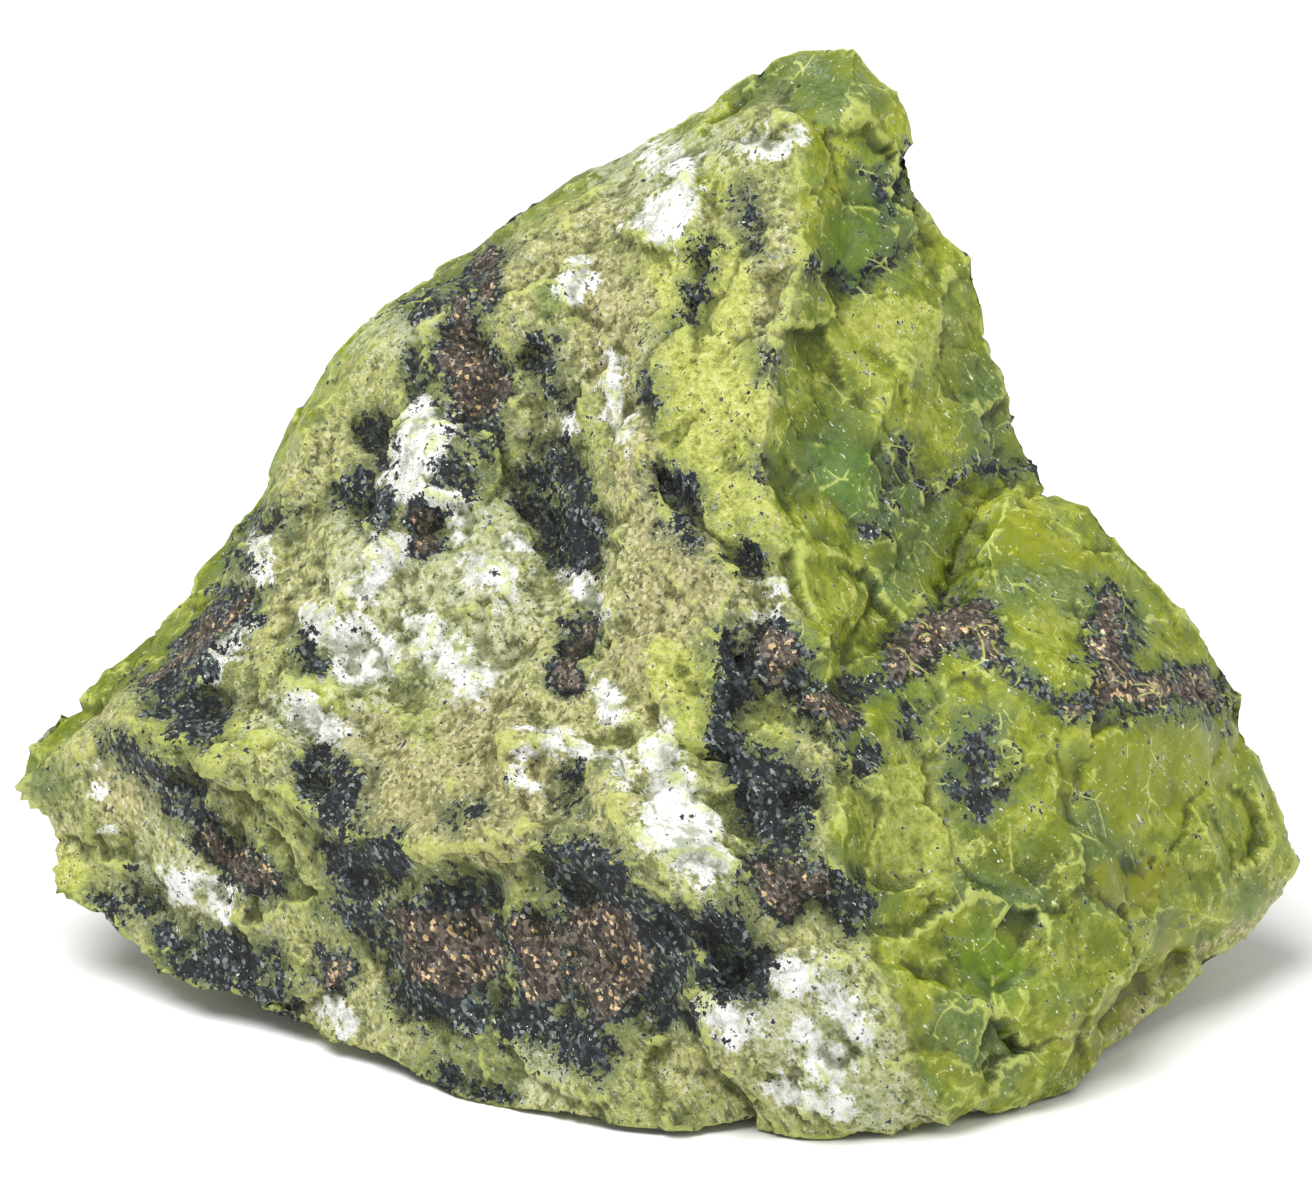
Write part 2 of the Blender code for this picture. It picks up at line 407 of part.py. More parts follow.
def weather(points, triangles):
    """Rounds the faces between the sharp lines, then breaks them up with scars, flakes and pits."""
    rim = placed(OUTLINE + OUTLINE[:1])
    from_rim = distances(points, rim)[0]
    from_lines = from_rim
    for line in RIDGES.values():
        from_lines = np.minimum(from_lines, distances(points, placed(line))[0])
    front = fade(normals(points, triangles) @ TOWARD, -0.1, 0.15)
    points = soften(points, triangles, (0.4 + 0.2 * front) * fade(from_lines, 0.2, 2.5), 8)
    facing = soften(normals(points, triangles), triangles, np.full(len(points), 0.5), 3)
    view = viewed(points)

    spine = np.array(RIDGES["spine"])
    beyond_spine = view[:, 0] - np.interp(view[:, 1], spine[:, 1], spine[:, 0])
    granular = front * (1 - fade(beyond_spine, -1.5, 1.5))
    calm = np.zeros(len(points))
    for across, down, radius in CALM:
        away = np.hypot(view[:, 0] - across, view[:, 1] - down)
        calm = np.maximum(calm, front * (1 - fade(away, 0.6 * radius, radius)))
    rough = 1 - (1 - CALM_SHARE) * calm
    rough *= RIM_SHARE + (1 - RIM_SHARE) * fade(from_rim, 0, 8)

    waxy_relief = WAXY_RELIEF * scars(points, WAXY_SCAR, 1)
    waxy_relief += WAXY_CHIP_RELIEF * scars(points, WAXY_CHIP, 20)
    grainy_relief = GRAINY_RELIEF * scars(points, GRAINY_SCAR, 40)
    grainy_relief += LUMP_RELIEF * lumps(points, GRAINY_LUMP)
    rear_relief = REAR_RELIEF * scars(points, REAR_SCAR, 60)
    relief = granular * grainy_relief + (1 - granular) * waxy_relief + (1 - front) * rear_relief
    relief *= rough
    for line, height, reach in FLAKES:
        away, hand = distances(view[:, :2], line)
        ledge = height * fade(away * hand, -0.4, 0.4) * np.exp(-away / reach)
        relief += front * ledge
    for line, half_width, depth in FURROWS:
        away = distances(view[:, :2], line)[0]
        relief -= front * depth * (1 - fade(away, 0.2 * half_width, half_width))
    for across, down, radius, depth in PITS:
        away = np.hypot(view[:, 0] - across, view[:, 1] - down)
        relief -= front * depth * (1 - fade(away, 0.2 * radius, radius))
    return points + facing * relief[:, None]


def lighten(solid):
    """Keeps about the wanted number of triangles, where the shape needs them most."""
    mesh = bpy.data.meshes.new("working")
    solid.to_mesh(mesh)
    stone = bpy.data.objects.new("working", mesh)
    bpy.context.scene.collection.objects.link(stone)
    thin_out = stone.modifiers.new("thin_out", "DECIMATE")
    thin_out.ratio = TRIANGLES / len(solid.faces)
    graph = bpy.context.evaluated_depsgraph_get()
    solid.clear()
    solid.from_mesh(stone.evaluated_get(graph).to_mesh())
    bpy.data.objects.remove(stone, do_unlink=True)
    bmesh.ops.triangulate(solid, faces=solid.faces)


def untangle(solid):
    """Smooths the few places where the surface passes through itself, until none is left."""
    for _ in range(MOST_ROUNDS):
        solid.faces.ensure_lookup_table()
        tree = bvhtree.BVHTree.FromBMesh(solid)
        tangled = set()
        for first, second in tree.overlap(tree):
            corners = set(solid.faces[first].verts), set(solid.faces[second].verts)
            if not corners[0] & corners[1]:
                tangled |= corners[0] | corners[1]
        if not tangled:
            return
        around = {edge.other_vert(vertex) for vertex in tangled for edge in vertex.link_edges}
        moved = sorted(tangled | around, key=lambda vertex: vertex.index)
        bmesh.ops.smooth_vert(
            solid, verts=moved, factor=0.5, use_axis_x=True, use_axis_y=True, use_axis_z=True
        )


def draw_in(solid):
    """Draws in what stands out on the far side as a thorn, thinner than a break leaves it."""
    solid.normal_update()
    tree = bvhtree.BVHTree.FromBMesh(solid)
    thin = set()
    for vertex in solid.verts:
        inward = -vertex.normal
        thickness = tree.ray_cast(vertex.co + inward * SNAP, inward)[3]
        if vertex.co.y > FAR_SIDE and thickness is not None and thickness < THINNEST:
            thin.add(vertex)
    top = max(solid.verts, key=lambda vertex: vertex.co.z)
    body, reached = {top}, [top]
    while reached:
        for edge in reached.pop().link_edges:
            for vertex in edge.verts:
                if vertex not in body and vertex not in thin:
                    body.add(vertex)
                    reached.append(vertex)
    thorns = {vertex for vertex in solid.verts if vertex not in body}
    thorns |= {edge.other_vert(vertex) for vertex in thorns for edge in vertex.link_edges}
    thorns = sorted(thorns, key=lambda vertex: vertex.index)
    for _ in range(DRAW_ROUNDS):
        for vertex in thorns:
            near = [edge.other_vert(vertex).co for edge in vertex.link_edges]
            vertex.co = sum(near, Vector()) / len(near)


def stand(solid):
    """Puts every point of the resting face at exactly the same height."""
    for vertex in solid.verts:
        if vertex.co.z < SNAP:
            vertex.co.z = 0.0


def stone_material():
    material = bpy.data.materials.new("serpentine")
    material.use_nodes = True
    surface = material.node_tree.nodes["Principled BSDF"]
    surface.inputs["Base Color"].default_value = (0.28, 0.32, 0.07, 1.0)
    surface.inputs["Roughness"].default_value = 0.5
    return material


def build():
    for leftover in list(bpy.data.objects):
        bpy.data.objects.remove(leftover, do_unlink=True)
    solid = cage()
    refine(solid)
    solid.verts.ensure_lookup_table()
    points = np.array([vertex.co for vertex in solid.verts], dtype=float)
    triangles = np.array([[vertex.index for vertex in face.verts] for face in solid.faces])
    for vertex, point in zip(solid.verts, weather(points, triangles)):
        vertex.co = (point[0], point[1], max(point[2], 0.0))
    lighten(solid)
    draw_in(solid)
    untangle(solid)
    stand(solid)
    bmesh.ops.scale(solid, vec=(MM, MM, MM), verts=solid.verts)
    mesh = bpy.data.meshes.new(NAME)
    solid.to_mesh(mesh)
    solid.free()
    mesh.materials.append(stone_material())
    stone = bpy.data.objects.new(NAME, mesh)
    bpy.context.scene.collection.objects.link(stone)


build()
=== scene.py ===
"""How the serpentine rock looks: its finer breaks, its minerals, and the view that shows it.

The stone's own mesh is taken from the frame and divided more finely. Each mineral is then placed
with strokes read in the front view, in millimetres across and down from the view's top left
corner, the same view that the stone was drawn in. Away from that side, the minerals follow noise.
"""

import itertools
import math

import bmesh
import bpy
import numpy as np
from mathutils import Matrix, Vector, noise


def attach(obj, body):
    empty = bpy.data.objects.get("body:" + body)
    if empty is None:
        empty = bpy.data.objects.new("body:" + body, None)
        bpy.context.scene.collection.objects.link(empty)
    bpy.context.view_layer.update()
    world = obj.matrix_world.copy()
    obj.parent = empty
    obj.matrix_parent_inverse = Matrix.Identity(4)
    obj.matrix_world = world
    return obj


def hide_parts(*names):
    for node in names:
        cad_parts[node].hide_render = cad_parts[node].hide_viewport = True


MM = 0.001
NODE = "serpentine_rock"

# The front view, as the stone was drawn in it.
VIEW_WIDTH = 131.2
VIEW_HEIGHT = 119.9
EYE_DISTANCE = 700.0
EYE_ELEVATION = math.radians(20.0)
MIDDLE = np.array([0.0, 0.0, 40.6])
SENSOR = 36.0
TOWARD = np.array([0.0, -math.cos(EYE_ELEVATION), math.sin(EYE_ELEVATION)])
UPWARD = np.array([0.0, math.sin(EYE_ELEVATION), math.cos(EYE_ELEVATION)])

# Longest edges of the finer mesh, on the side that the front view shows and on the other sides.
FRONT_EDGE = 0.76
REAR_EDGE = 1.5

# The line that parts the granular left side from the waxy right side.
SPINE = [(79.2, 5.0), (79.2, 12.1), (79.8, 22.0), (79.8, 26.6), (77.6, 34.0), (76.4, 42.0),
         (76.4, 50.6), (77.4, 55.0), (78.4, 60.4), (80.4, 66.0), (82.6, 71.6), (83.6, 78.0),
         (84.0, 84.4), (86.4, 90.2), (88.2, 96.4), (90.0, 102.0), (92.8, 107.6), (94.8, 113.0)]

# Each stroke is half its width, then the points that it runs through.
BLACK = [
    (2.6, [(17.5, 69.5), (20.5, 71.5)]), (1.8, [(18.5, 73.0), (20.0, 72.0)]),
    (2.4, [(31.5, 77.5), (34.5, 79.5)]), (1.5, [(30.5, 77.0), (32.5, 75.8)]),
    (1.3, [(12.0, 75.0), (15.0, 76.5), (17.5, 79.0), (19.5, 81.5), (22.0, 84.0), (25.0, 86.5),
           (27.0, 89.0)]),
    (0.9, [(11.0, 91.3)]), (1.0, [(13.5, 89.0), (15.0, 90.5)]), (1.3, [(17.0, 93.0), (19.0, 94.0)]),
    (1.6, [(21.5, 94.8), (26.5, 96.0)]), (1.3, [(20.0, 96.5), (25.0, 98.2), (29.0, 99.8)]),
    (2.5, [(36.0, 86.5), (39.0, 85.5)]), (1.8, [(35.0, 84.5), (37.0, 88.5)]),
    (1.5, [(35.0, 91.0), (37.0, 93.0)]), (1.2, [(43.5, 89.3), (48.0, 89.6)]),
    (2.3, [(57.0, 87.6), (61.0, 88.5)]), (1.7, [(56.0, 86.0), (60.0, 86.0)]),
    (3.0, [(63.4, 92.5), (66.5, 94.0)]), (2.7, [(64.5, 97.0), (66.0, 98.5)]),
    (2.8, [(43.0, 99.0), (47.0, 100.0)]), (2.4, [(51.0, 102.5), (55.0, 103.6), (59.0, 104.2)]),
    (1.3, [(61.0, 100.0), (65.0, 101.5), (69.0, 101.5)]),
    (1.3, [(43.5, 107.0), (47.0, 108.8), (50.0, 109.4)]), (3.3, [(72.0, 94.0), (74.0, 97.0)]),
    (0.8, [(57.6, 77.5)]), (0.8, [(46.0, 81.5), (47.6, 81.3)]), (0.6, [(57.0, 80.5)]),
    (3.4, [(76.4, 79.4), (78.0, 82.0)]), (2.4, [(73.5, 74.5), (76.0, 77.0), (80.0, 79.5)]),
    (1.8, [(80.0, 87.5), (84.0, 89.0), (86.5, 90.0)]), (2.0, [(73.0, 65.5), (74.0, 68.0), (73.0, 70.0)]),
    (1.3, [(79.0, 65.5), (80.0, 68.0), (82.0, 71.0)]), (1.4, [(66.5, 48.5), (69.5, 50.0)]),
    (0.9, [(67.5, 52.5), (69.0, 53.5)]), (0.9, [(73.8, 54.8), (75.0, 55.6)]),
    (0.8, [(65.2, 38.5), (65.8, 41.5)]), (0.6, [(75.8, 35.0), (76.0, 36.4)]),
    (0.5, [(75.8, 45.6), (75.8, 46.8)]), (0.8, [(74.6, 20.5), (75.0, 23.0)]),
    (0.9, [(70.0, 24.0), (70.5, 27.0), (69.6, 29.8)]), (0.35, [(67.5, 32.5), (70.5, 30.0)]),
    (1.2, [(52.5, 36.0), (53.4, 37.0)]), (0.9, [(55.0, 37.0), (55.6, 39.6)]),
    (0.8, [(53.5, 34.8), (55.6, 35.6)]), (1.9, [(55.0, 45.5), (56.6, 49.0), (57.2, 52.5), (56.8, 55.6)]),
    (1.6, [(52.6, 48.4), (54.0, 51.0), (55.5, 54.0)]), (1.6, [(37.5, 43.0), (38.4, 46.0)]),
    (1.9, [(35.8, 49.5), (38.4, 51.5)]), (1.5, [(44.5, 46.0), (47.5, 47.0)]),
    (1.2, [(46.5, 42.3), (49.0, 43.2)]), (0.6, [(44.5, 40.5)]), (0.8, [(42.8, 35.5), (42.6, 39.0)]),
    (0.8, [(40.5, 31.0), (44.0, 29.5), (48.0, 27.8), (50.0, 25.5)]),
    (0.8, [(24.4, 51.6), (27.6, 51.8)]), (0.8, [(24.2, 54.6), (25.0, 56.2)]),
    (0.35, [(20.5, 67.5), (25.0, 60.0)]), (1.4, [(30.5, 64.0), (31.5, 65.2)]),
    (1.6, [(97.6, 74.2), (98.4, 77.0), (98.8, 79.2)]), (1.3, [(96.6, 78.6), (100.0, 78.6)]),
    (1.0, [(91.0, 71.0), (91.4, 73.0)]), (1.0, [(85.0, 75.4), (85.8, 75.8)]),
    (0.7, [(81.5, 27.0), (85.0, 27.6), (89.0, 26.0)]), (0.5, [(87.6, 17.5), (88.0, 21.0)]),
    (0.5, [(90.8, 16.5), (91.0, 19.0)]),
    (0.5, [(93.0, 48.5), (96.0, 47.4), (99.0, 46.2), (103.0, 46.4)]),
    (0.35, [(89.5, 49.0), (87.5, 52.0), (86.0, 54.0)]), (0.8, [(90.6, 45.6), (91.4, 46.4)]),
    (0.75, [(84.0, 70.0), (87.0, 68.0), (90.0, 65.0), (93.0, 62.4), (98.5, 60.5), (99.5, 65.0),
            (101.0, 67.0), (104.5, 70.0), (108.0, 71.0), (110.0, 69.0)]),
    (0.6, [(110.0, 71.0), (115.0, 71.2), (121.0, 69.8), (122.5, 67.5), (124.0, 72.0)]),
]
WHITE = [
    (2.2, [(65.5, 22.5), (67.6, 20.0)]), (1.6, [(68.4, 18.6), (66.0, 22.8)]),
    (1.0, [(65.5, 16.5), (69.0, 16.0)]), (1.1, [(74.5, 15.0), (78.6, 13.6)]),
    (1.1, [(56.8, 28.4), (58.6, 26.6)]), (1.2, [(61.4, 39.2), (62.2, 43.4)]),
    (0.7, [(61.6, 36.0), (62.2, 38.0)]), (2.1, [(43.4, 42.4), (41.6, 45.4), (40.0, 48.0)]),
    (1.5, [(42.0, 49.4), (46.0, 50.0)]), (1.4, [(38.6, 50.6), (37.6, 52.4)]),
    (1.6, [(40.6, 54.0), (38.4, 56.5), (36.4, 60.0)]),
    (0.9, [(45.8, 52.0), (46.4, 53.4)]), (0.9, [(50.6, 53.2), (51.6, 54.0)]),
    (1.8, [(47.6, 57.6), (50.6, 58.6)]), (0.9, [(56.0, 42.0), (56.4, 43.4)]),
    (1.3, [(57.0, 57.6), (58.4, 60.4), (58.6, 62.4)]), (1.6, [(32.0, 62.0), (33.0, 63.0)]),
    (2.3, [(34.6, 64.4), (38.0, 66.0)]), (1.8, [(42.0, 62.0), (43.6, 64.8)]),
    (1.6, [(45.4, 66.4), (48.6, 68.0)]), (2.0, [(31.0, 71.0), (33.6, 73.0)]),
    (1.2, [(60.6, 69.8), (61.4, 71.0)]), (0.9, [(53.2, 74.4), (56.0, 74.2), (60.0, 76.0), (62.4, 78.4)]),
    (0.8, [(52.2, 77.0), (53.4, 79.0)]), (2.1, [(65.4, 74.4), (66.0, 78.0), (67.4, 81.6)]),
    (2.5, [(68.6, 82.4), (70.6, 86.0)]), (2.0, [(66.0, 82.4), (68.4, 85.6)]),
    (1.0, [(76.6, 58.0), (77.4, 60.0)]), (0.8, [(76.8, 62.4), (77.4, 63.6)]),
    (1.0, [(26.0, 53.6), (25.6, 58.0)]), (1.4, [(24.0, 61.0), (21.4, 66.0)]),
    (1.3, [(16.8, 88.0), (18.4, 88.4)]), (1.2, [(20.8, 88.0), (23.0, 92.0)]),
    (0.5, [(9.5, 76.5)]), (0.5, [(9.6, 79.4)]), (0.6, [(11.4, 83.0)]),
    (1.6, [(70.5, 101.0), (74.0, 102.0)]), (1.6, [(78.0, 98.0), (82.0, 97.6)]),
    (1.8, [(79.6, 104.0), (83.0, 106.6)]), (1.4, [(78.0, 109.0), (84.0, 110.6)]),
    (1.3, [(83.6, 99.6), (86.0, 103.0)]), (1.3, [(33.0, 101.0), (36.0, 102.6)]),
]
BRONZE = [
    (3.0, [(42.5, 94.0), (46.5, 96.0)]), (2.0, [(41.0, 92.6), (47.0, 93.0)]),
    (2.4, [(53.0, 93.5), (54.5, 98.0)]), (3.2, [(59.0, 93.5), (61.4, 97.5)]),
    (2.0, [(60.0, 99.0), (62.0, 97.0)]), (1.2, [(20.5, 82.5), (25.5, 88.0)]),
    (1.5, [(89.6, 66.4), (93.0, 63.8), (97.6, 62.0)]), (1.0, [(98.2, 62.0), (98.6, 64.4)]),
    (0.6, [(106.0, 70.4), (107.6, 70.4)]), (0.8, [(109.8, 61.0), (110.8, 62.0)]),
    (1.6, [(111.2, 64.4), (112.4, 67.6), (111.0, 69.4)]),
    (1.2, [(112.0, 68.6), (116.0, 68.8), (120.0, 69.0)]), (1.0, [(45.0, 31.0), (46.6, 32.6)]),
    (1.9, [(46.6, 34.6), (47.4, 39.4)]), (1.0, [(49.0, 27.6), (49.0, 29.0)]),
    (0.8, [(43.0, 52.0), (43.2, 53.8)]), (1.0, [(57.6, 63.4), (57.2, 68.0)]),
    (1.2, [(77.4, 64.8), (78.4, 66.4)]), (1.1, [(82.0, 70.6), (83.0, 71.6)]),
    (1.6, [(75.6, 86.6), (79.0, 90.0)]), (1.0, [(79.0, 87.0), (82.6, 88.4)]),
    (0.8, [(14.6, 69.0), (19.0, 64.6), (24.0, 60.0)]), (1.0, [(33.6, 96.6), (34.2, 98.0)]),
]
DEEP = [
    (4.5, [(84.0, 46.0), (88.0, 50.0)]), (2.5, [(97.6, 38.5), (99.4, 45.0)]), (1.5, [(110.0, 89.0)]),
    (3.5, [(96.0, 103.0), (99.6, 105.6)]), (1.2, [(31.4, 78.5)]), (1.4, [(57.5, 87.0)]),
    (1.5, [(3.0, 76.5), (5.0, 78.0)]), (0.9, [(59.0, 65.0), (59.4, 67.0)]),
    (2.6, [(88.0, 19.0), (89.0, 23.0)]), (2.0, [(96.0, 89.0), (103.0, 91.0)]),
    (1.6, [(20.0, 95.0), (16.0, 94.0)]), (3.0, [(93.0, 52.0), (90.0, 57.0)]),
    (2.6, [(75.0, 8.6), (80.0, 8.0), (86.0, 8.6)]), (2.0, [(75.0, 78.0), (79.0, 84.0)]),
    (2.5, [(112.0, 86.0), (109.0, 83.0)]),
    (2.2, [(101.0, 57.0), (107.0, 59.0), (113.0, 63.0)]), (1.8, [(99.0, 72.0), (96.0, 78.0)]),
]
EMERALD = [
    (2.6, [(84.6, 22.6), (84.0, 26.0)]), (3.0, [(84.6, 46.4), (84.4, 48.0)]),
    (3.0, [(97.5, 95.0), (101.0, 98.0)]), (0.8, [(71.0, 95.0), (70.8, 98.0)]),
    (1.0, [(93.0, 106.0), (94.0, 111.0)]), (1.0, [(113.0, 68.0)]), (1.2, [(55.6, 28.6), (55.4, 31.0)]),
]
LIME = [
    (5.0, [(70.0, 27.0), (71.5, 34.0)]), (5.0, [(71.0, 38.0), (71.6, 45.0)]),
    (3.0, [(73.0, 49.0), (75.0, 54.0)]), (2.5, [(71.0, 18.0)]), (3.2, [(67.0, 67.0), (70.0, 71.0)]),
    (2.5, [(76.5, 73.0)]), (1.2, [(29.6, 97.4)]), (2.0, [(31.6, 67.4), (33.6, 68.6)]),
    (1.6, [(14.0, 73.0), (19.0, 74.6), (24.0, 73.8)]), (1.2, [(70.5, 90.5), (71.8, 92.0)]),
    (5.5, [(90.0, 78.0), (92.0, 84.0)]), (2.0, [(106.0, 60.0), (112.0, 63.0)]),
    (3.0, [(92.0, 34.0), (86.0, 31.0)]), (2.0, [(6.0, 87.0), (8.0, 89.0)]),
]
AMBER = [
    (1.3, [(109.6, 101.8), (113.0, 99.0), (117.0, 96.6)]),
    (1.9, [(110.4, 87.6), (114.0, 89.4), (115.6, 87.4)]),
    (0.9, [(93.0, 105.2), (97.0, 108.0)]), (1.6, [(107.0, 103.0), (108.6, 106.0)]),
]
OLIVE = [
    (0.9, [(110.2, 103.6), (117.8, 97.4), (124.0, 93.2), (128.6, 89.8)]),
    (2.5, [(60.4, 28.0), (62.0, 38.0), (64.5, 48.0), (67.0, 56.0), (73.0, 58.0)]),
    (5.0, [(36.0, 77.0), (44.0, 80.0), (50.0, 82.0)]), (4.0, [(67.0, 60.0), (64.0, 65.0)]),
    (4.0, [(48.0, 72.0), (54.0, 78.0)]), (3.0, [(12.0, 79.0), (14.0, 80.0)]),
]
PALE = [
    (4.5, [(77.0, 102.0), (82.0, 105.0)]), (3.5, [(84.0, 108.0), (88.0, 110.0)]),
    (2.0, [(52.6, 106.0), (55.0, 108.0)]), (4.5, [(36.0, 57.0), (46.0, 57.0)]),
    (4.0, [(36.0, 66.0), (48.0, 66.0)]), (3.0, [(52.0, 60.0), (48.0, 52.0)]),
    (2.6, [(28.0, 71.0), (34.0, 73.0)]), (2.0, [(16.0, 86.0), (22.0, 90.0)]),
    (2.5, [(66.0, 76.0), (70.0, 88.0)]), (2.5, [(62.0, 18.0), (72.0, 14.6)]),
    (2.0, [(38.0, 33.0), (42.0, 31.6)]), (3.0, [(84.0, 98.0), (86.0, 104.0)]),
]

# Broad smooth breaks with little texture: across, down and radius.
CALM = [(115.0, 76.0, 8.0), (109.0, 80.0, 5.5), (12.6, 79.0, 5.0), (82.0, 8.6, 4.0),
        (99.0, 96.0, 4.0), (112.0, 99.6, 2.6), (117.6, 93.6, 3.0), (112.4, 88.0, 3.0),
        (121.0, 75.0, 5.0), (84.6, 24.0, 3.5), (84.6, 47.0, 3.5), (102.0, 54.0, 4.0),
        (106.0, 57.0, 4.0), (66.6, 21.0, 2.4), (67.6, 82.0, 3.6)]

# Thin crisp flake edges on the waxy side: the points that each edge runs through.
CHIPS = [
    [(77.0, 48.6), (80.2, 54.6), (83.2, 56.2), (85.2, 60.0), (82.4, 64.4)],
    [(90.6, 37.4), (87.4, 43.2), (86.6, 49.6), (88.8, 55.0), (86.2, 61.0)],
    [(86.0, 54.0), (89.6, 49.0), (92.8, 48.0), (96.6, 46.4), (103.0, 46.4)],
    [(92.4, 22.6), (88.6, 26.2), (84.6, 27.6), (81.4, 27.0)],
    [(84.2, 83.0), (84.6, 86.2), (86.0, 88.2), (90.4, 89.0), (93.2, 87.4), (97.0, 88.6)],
    [(104.8, 75.2), (105.8, 79.0), (106.0, 82.2), (109.4, 84.6)],
    [(105.0, 93.2), (106.2, 88.6), (109.0, 89.6), (111.6, 91.2), (113.2, 93.8), (113.6, 96.2),
     (110.8, 98.4), (107.2, 101.4), (105.4, 104.2)],
    [(100.2, 103.4), (101.2, 105.6), (103.6, 105.6), (105.6, 103.8)],
    [(92.4, 98.4), (95.6, 100.4), (99.8, 100.2), (104.4, 97.6), (104.0, 94.0)],
    [(91.6, 105.6), (95.2, 106.2), (99.0, 108.0), (101.2, 107.8), (103.2, 105.6)],
    [(108.6, 76.6), (109.2, 74.0), (116.0, 70.2), (124.0, 69.4)],
    [(81.6, 9.8), (84.0, 8.0), (86.6, 10.0)],
    [(96.0, 51.0), (99.6, 50.2), (102.0, 51.2)],
    [(97.6, 57.0), (100.6, 55.4), (104.6, 57.2), (107.0, 55.4)],
]

# The strip of waxy stone along the back edge of the granular side starts at this line.
STRIP = [(3.0, 75.0), (12.0, 67.5), (20.0, 60.0), (24.0, 51.0), (31.0, 38.5), (42.0, 28.5),
         (52.0, 21.5), (64.0, 15.5), (76.0, 8.0)]

# Each mineral's strokes, and how softly they end, in millimetres.
MINERALS = {
    "black": (BLACK, 1.5), "white": (WHITE, 1.5), "bronze": (BRONZE, 1.1), "deep": (DEEP, 2.5),
    "emerald": (EMERALD, 1.4), "lime": (LIME, 2.0), "olive": (OLIVE, 2.2), "pale": (PALE, 2.6),
    "amber": (AMBER, 0.9),
}

# How much wider than the black and bronze strokes the darker green around them is, and how softly
# it ends. Then the same for the black rim around the bronze.
HALO_WIDER, HALO_SOFT = 1.5, 1.6
RIM_WIDER, RIM_SOFT = 0.9, 1.1

# The granular side's fibres run down to the right.
FIBRE_FALL = math.radians(58.0)
FIBRES = np.array([math.cos(FIBRE_FALL), 0.0, -math.sin(FIBRE_FALL)])
FIBRE_SQUEEZE = 0.5

# How far flat breaks tilt, and how much they step, in parts of their size.
FLAKE_TILT = 0.20
FLAKE_STEP = 0.07

# The flat breaks of each side, from large to small: share, size in millimetres, and the number
# that makes its pattern its own.
GRAINY_FLAKES = [(0.9, 8.0, 51), (0.8, 3.4, 1), (0.7, 1.6, 11)]
WAXY_FLAKES = [(0.9, 10.0, 61), (0.7, 4.6, 21), (0.4, 2.2, 31)]
SCAR_HEIGHT = 0.22
LUMP_HEIGHT = 0.15

# How much the flat breaks' borders wander, in millimetres, and the places that the wander is read from.
WANDER = 0.9
WANDER_PLACES = (5.0, 205.0, 405.0)

# How much each mineral stands out or lies deeper, in millimetres.
WHITE_RISE = 0.25
BLACK_DIP = 0.40
BRONZE_RISE = 0.45
CRYSTAL_RISE = 0.2

# Below 1, so that other grains show in the black patches.
MOST_BLACK = 0.86

# Height of the steps below and of the chips above, and how far each reaches from its line.
FOLD_HEIGHT, FOLD_REACH = 0.8, 3.0
CHIP_HEIGHT, CHIP_REACH = 0.32, 2.5

# Steps on the granular side. The right-hand side stands higher, seen the way that each one runs.
FOLDS = [
    [(65.0, 46.0), (66.0, 50.0), (70.0, 53.0), (74.0, 56.0), (75.0, 57.5), (73.5, 60.0), (71.5, 68.0)],
    [(62.5, 78.5), (60.0, 75.5), (56.0, 74.0), (53.0, 74.5)],
    [(66.0, 88.5), (56.0, 86.0), (40.0, 85.0), (33.0, 83.0), (18.0, 75.5)],
    [(64.5, 72.5), (66.2, 74.5), (68.0, 79.0), (71.5, 82.0), (73.5, 85.0), (74.0, 87.5), (72.0, 89.0)],
    [(25.0, 74.2), (16.5, 76.2)],
    [(29.0, 67.0), (33.0, 63.0), (36.0, 58.0), (38.0, 52.0)],
    [(71.5, 75.0), (70.0, 75.5), (67.5, 74.0), (64.5, 69.0)],
    [(76.0, 111.0), (74.5, 109.0), (71.0, 106.0), (69.0, 100.0)],
    [(63.0, 21.5), (64.0, 19.5), (66.5, 17.8), (69.5, 16.8), (70.0, 22.5), (68.5, 24.0), (64.0, 25.5),
     (63.0, 24.0), (63.0, 21.5)],
    [(70.0, 51.0), (66.5, 46.0), (65.0, 40.0), (66.5, 34.0), (69.0, 32.0), (71.0, 24.0)],
    [(62.0, 45.0), (60.5, 40.0), (61.0, 35.0)],
    [(50.0, 60.0), (45.0, 62.0), (42.0, 66.0)],
]

# Where the lower end of the spine overhangs. No relief is added there that could stand out as a
# thorn: none within the first distance, and all of it beyond the second.
SHARP_END = (73.5, 90.5)
SHARP_NEAR, SHARP_FAR = 1.0, 4.0

# How the mesh is eased between its sharp edges: how far each round moves a point, how many rounds,
# and the angles at which the easing starts to stop and has stopped.
EASE = 0.4
EASE_ROUNDS = 2
EASED_ANGLE = math.radians(35)
SHARP_ANGLE = math.radians(70)
SPLIT_ROUNDS = 4

# Points lower than this, in millimetres, are in the flat spot that the stone stands on.
STANDING = 0.05

# How much of a surface's direction turns away before it counts as the rear side's.
TURNED_AWAY = -0.3

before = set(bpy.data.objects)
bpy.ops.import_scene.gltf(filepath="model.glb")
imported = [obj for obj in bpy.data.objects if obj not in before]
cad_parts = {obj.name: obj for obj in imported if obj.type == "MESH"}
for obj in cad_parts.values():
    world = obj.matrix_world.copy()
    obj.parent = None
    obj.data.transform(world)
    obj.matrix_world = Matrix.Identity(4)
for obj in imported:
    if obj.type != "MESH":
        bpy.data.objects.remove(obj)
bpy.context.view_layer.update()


def placed_eye():
    """Where the front view is seen from, in metres."""
    return Vector((MIDDLE + EYE_DISTANCE * TOWARD) * MM)


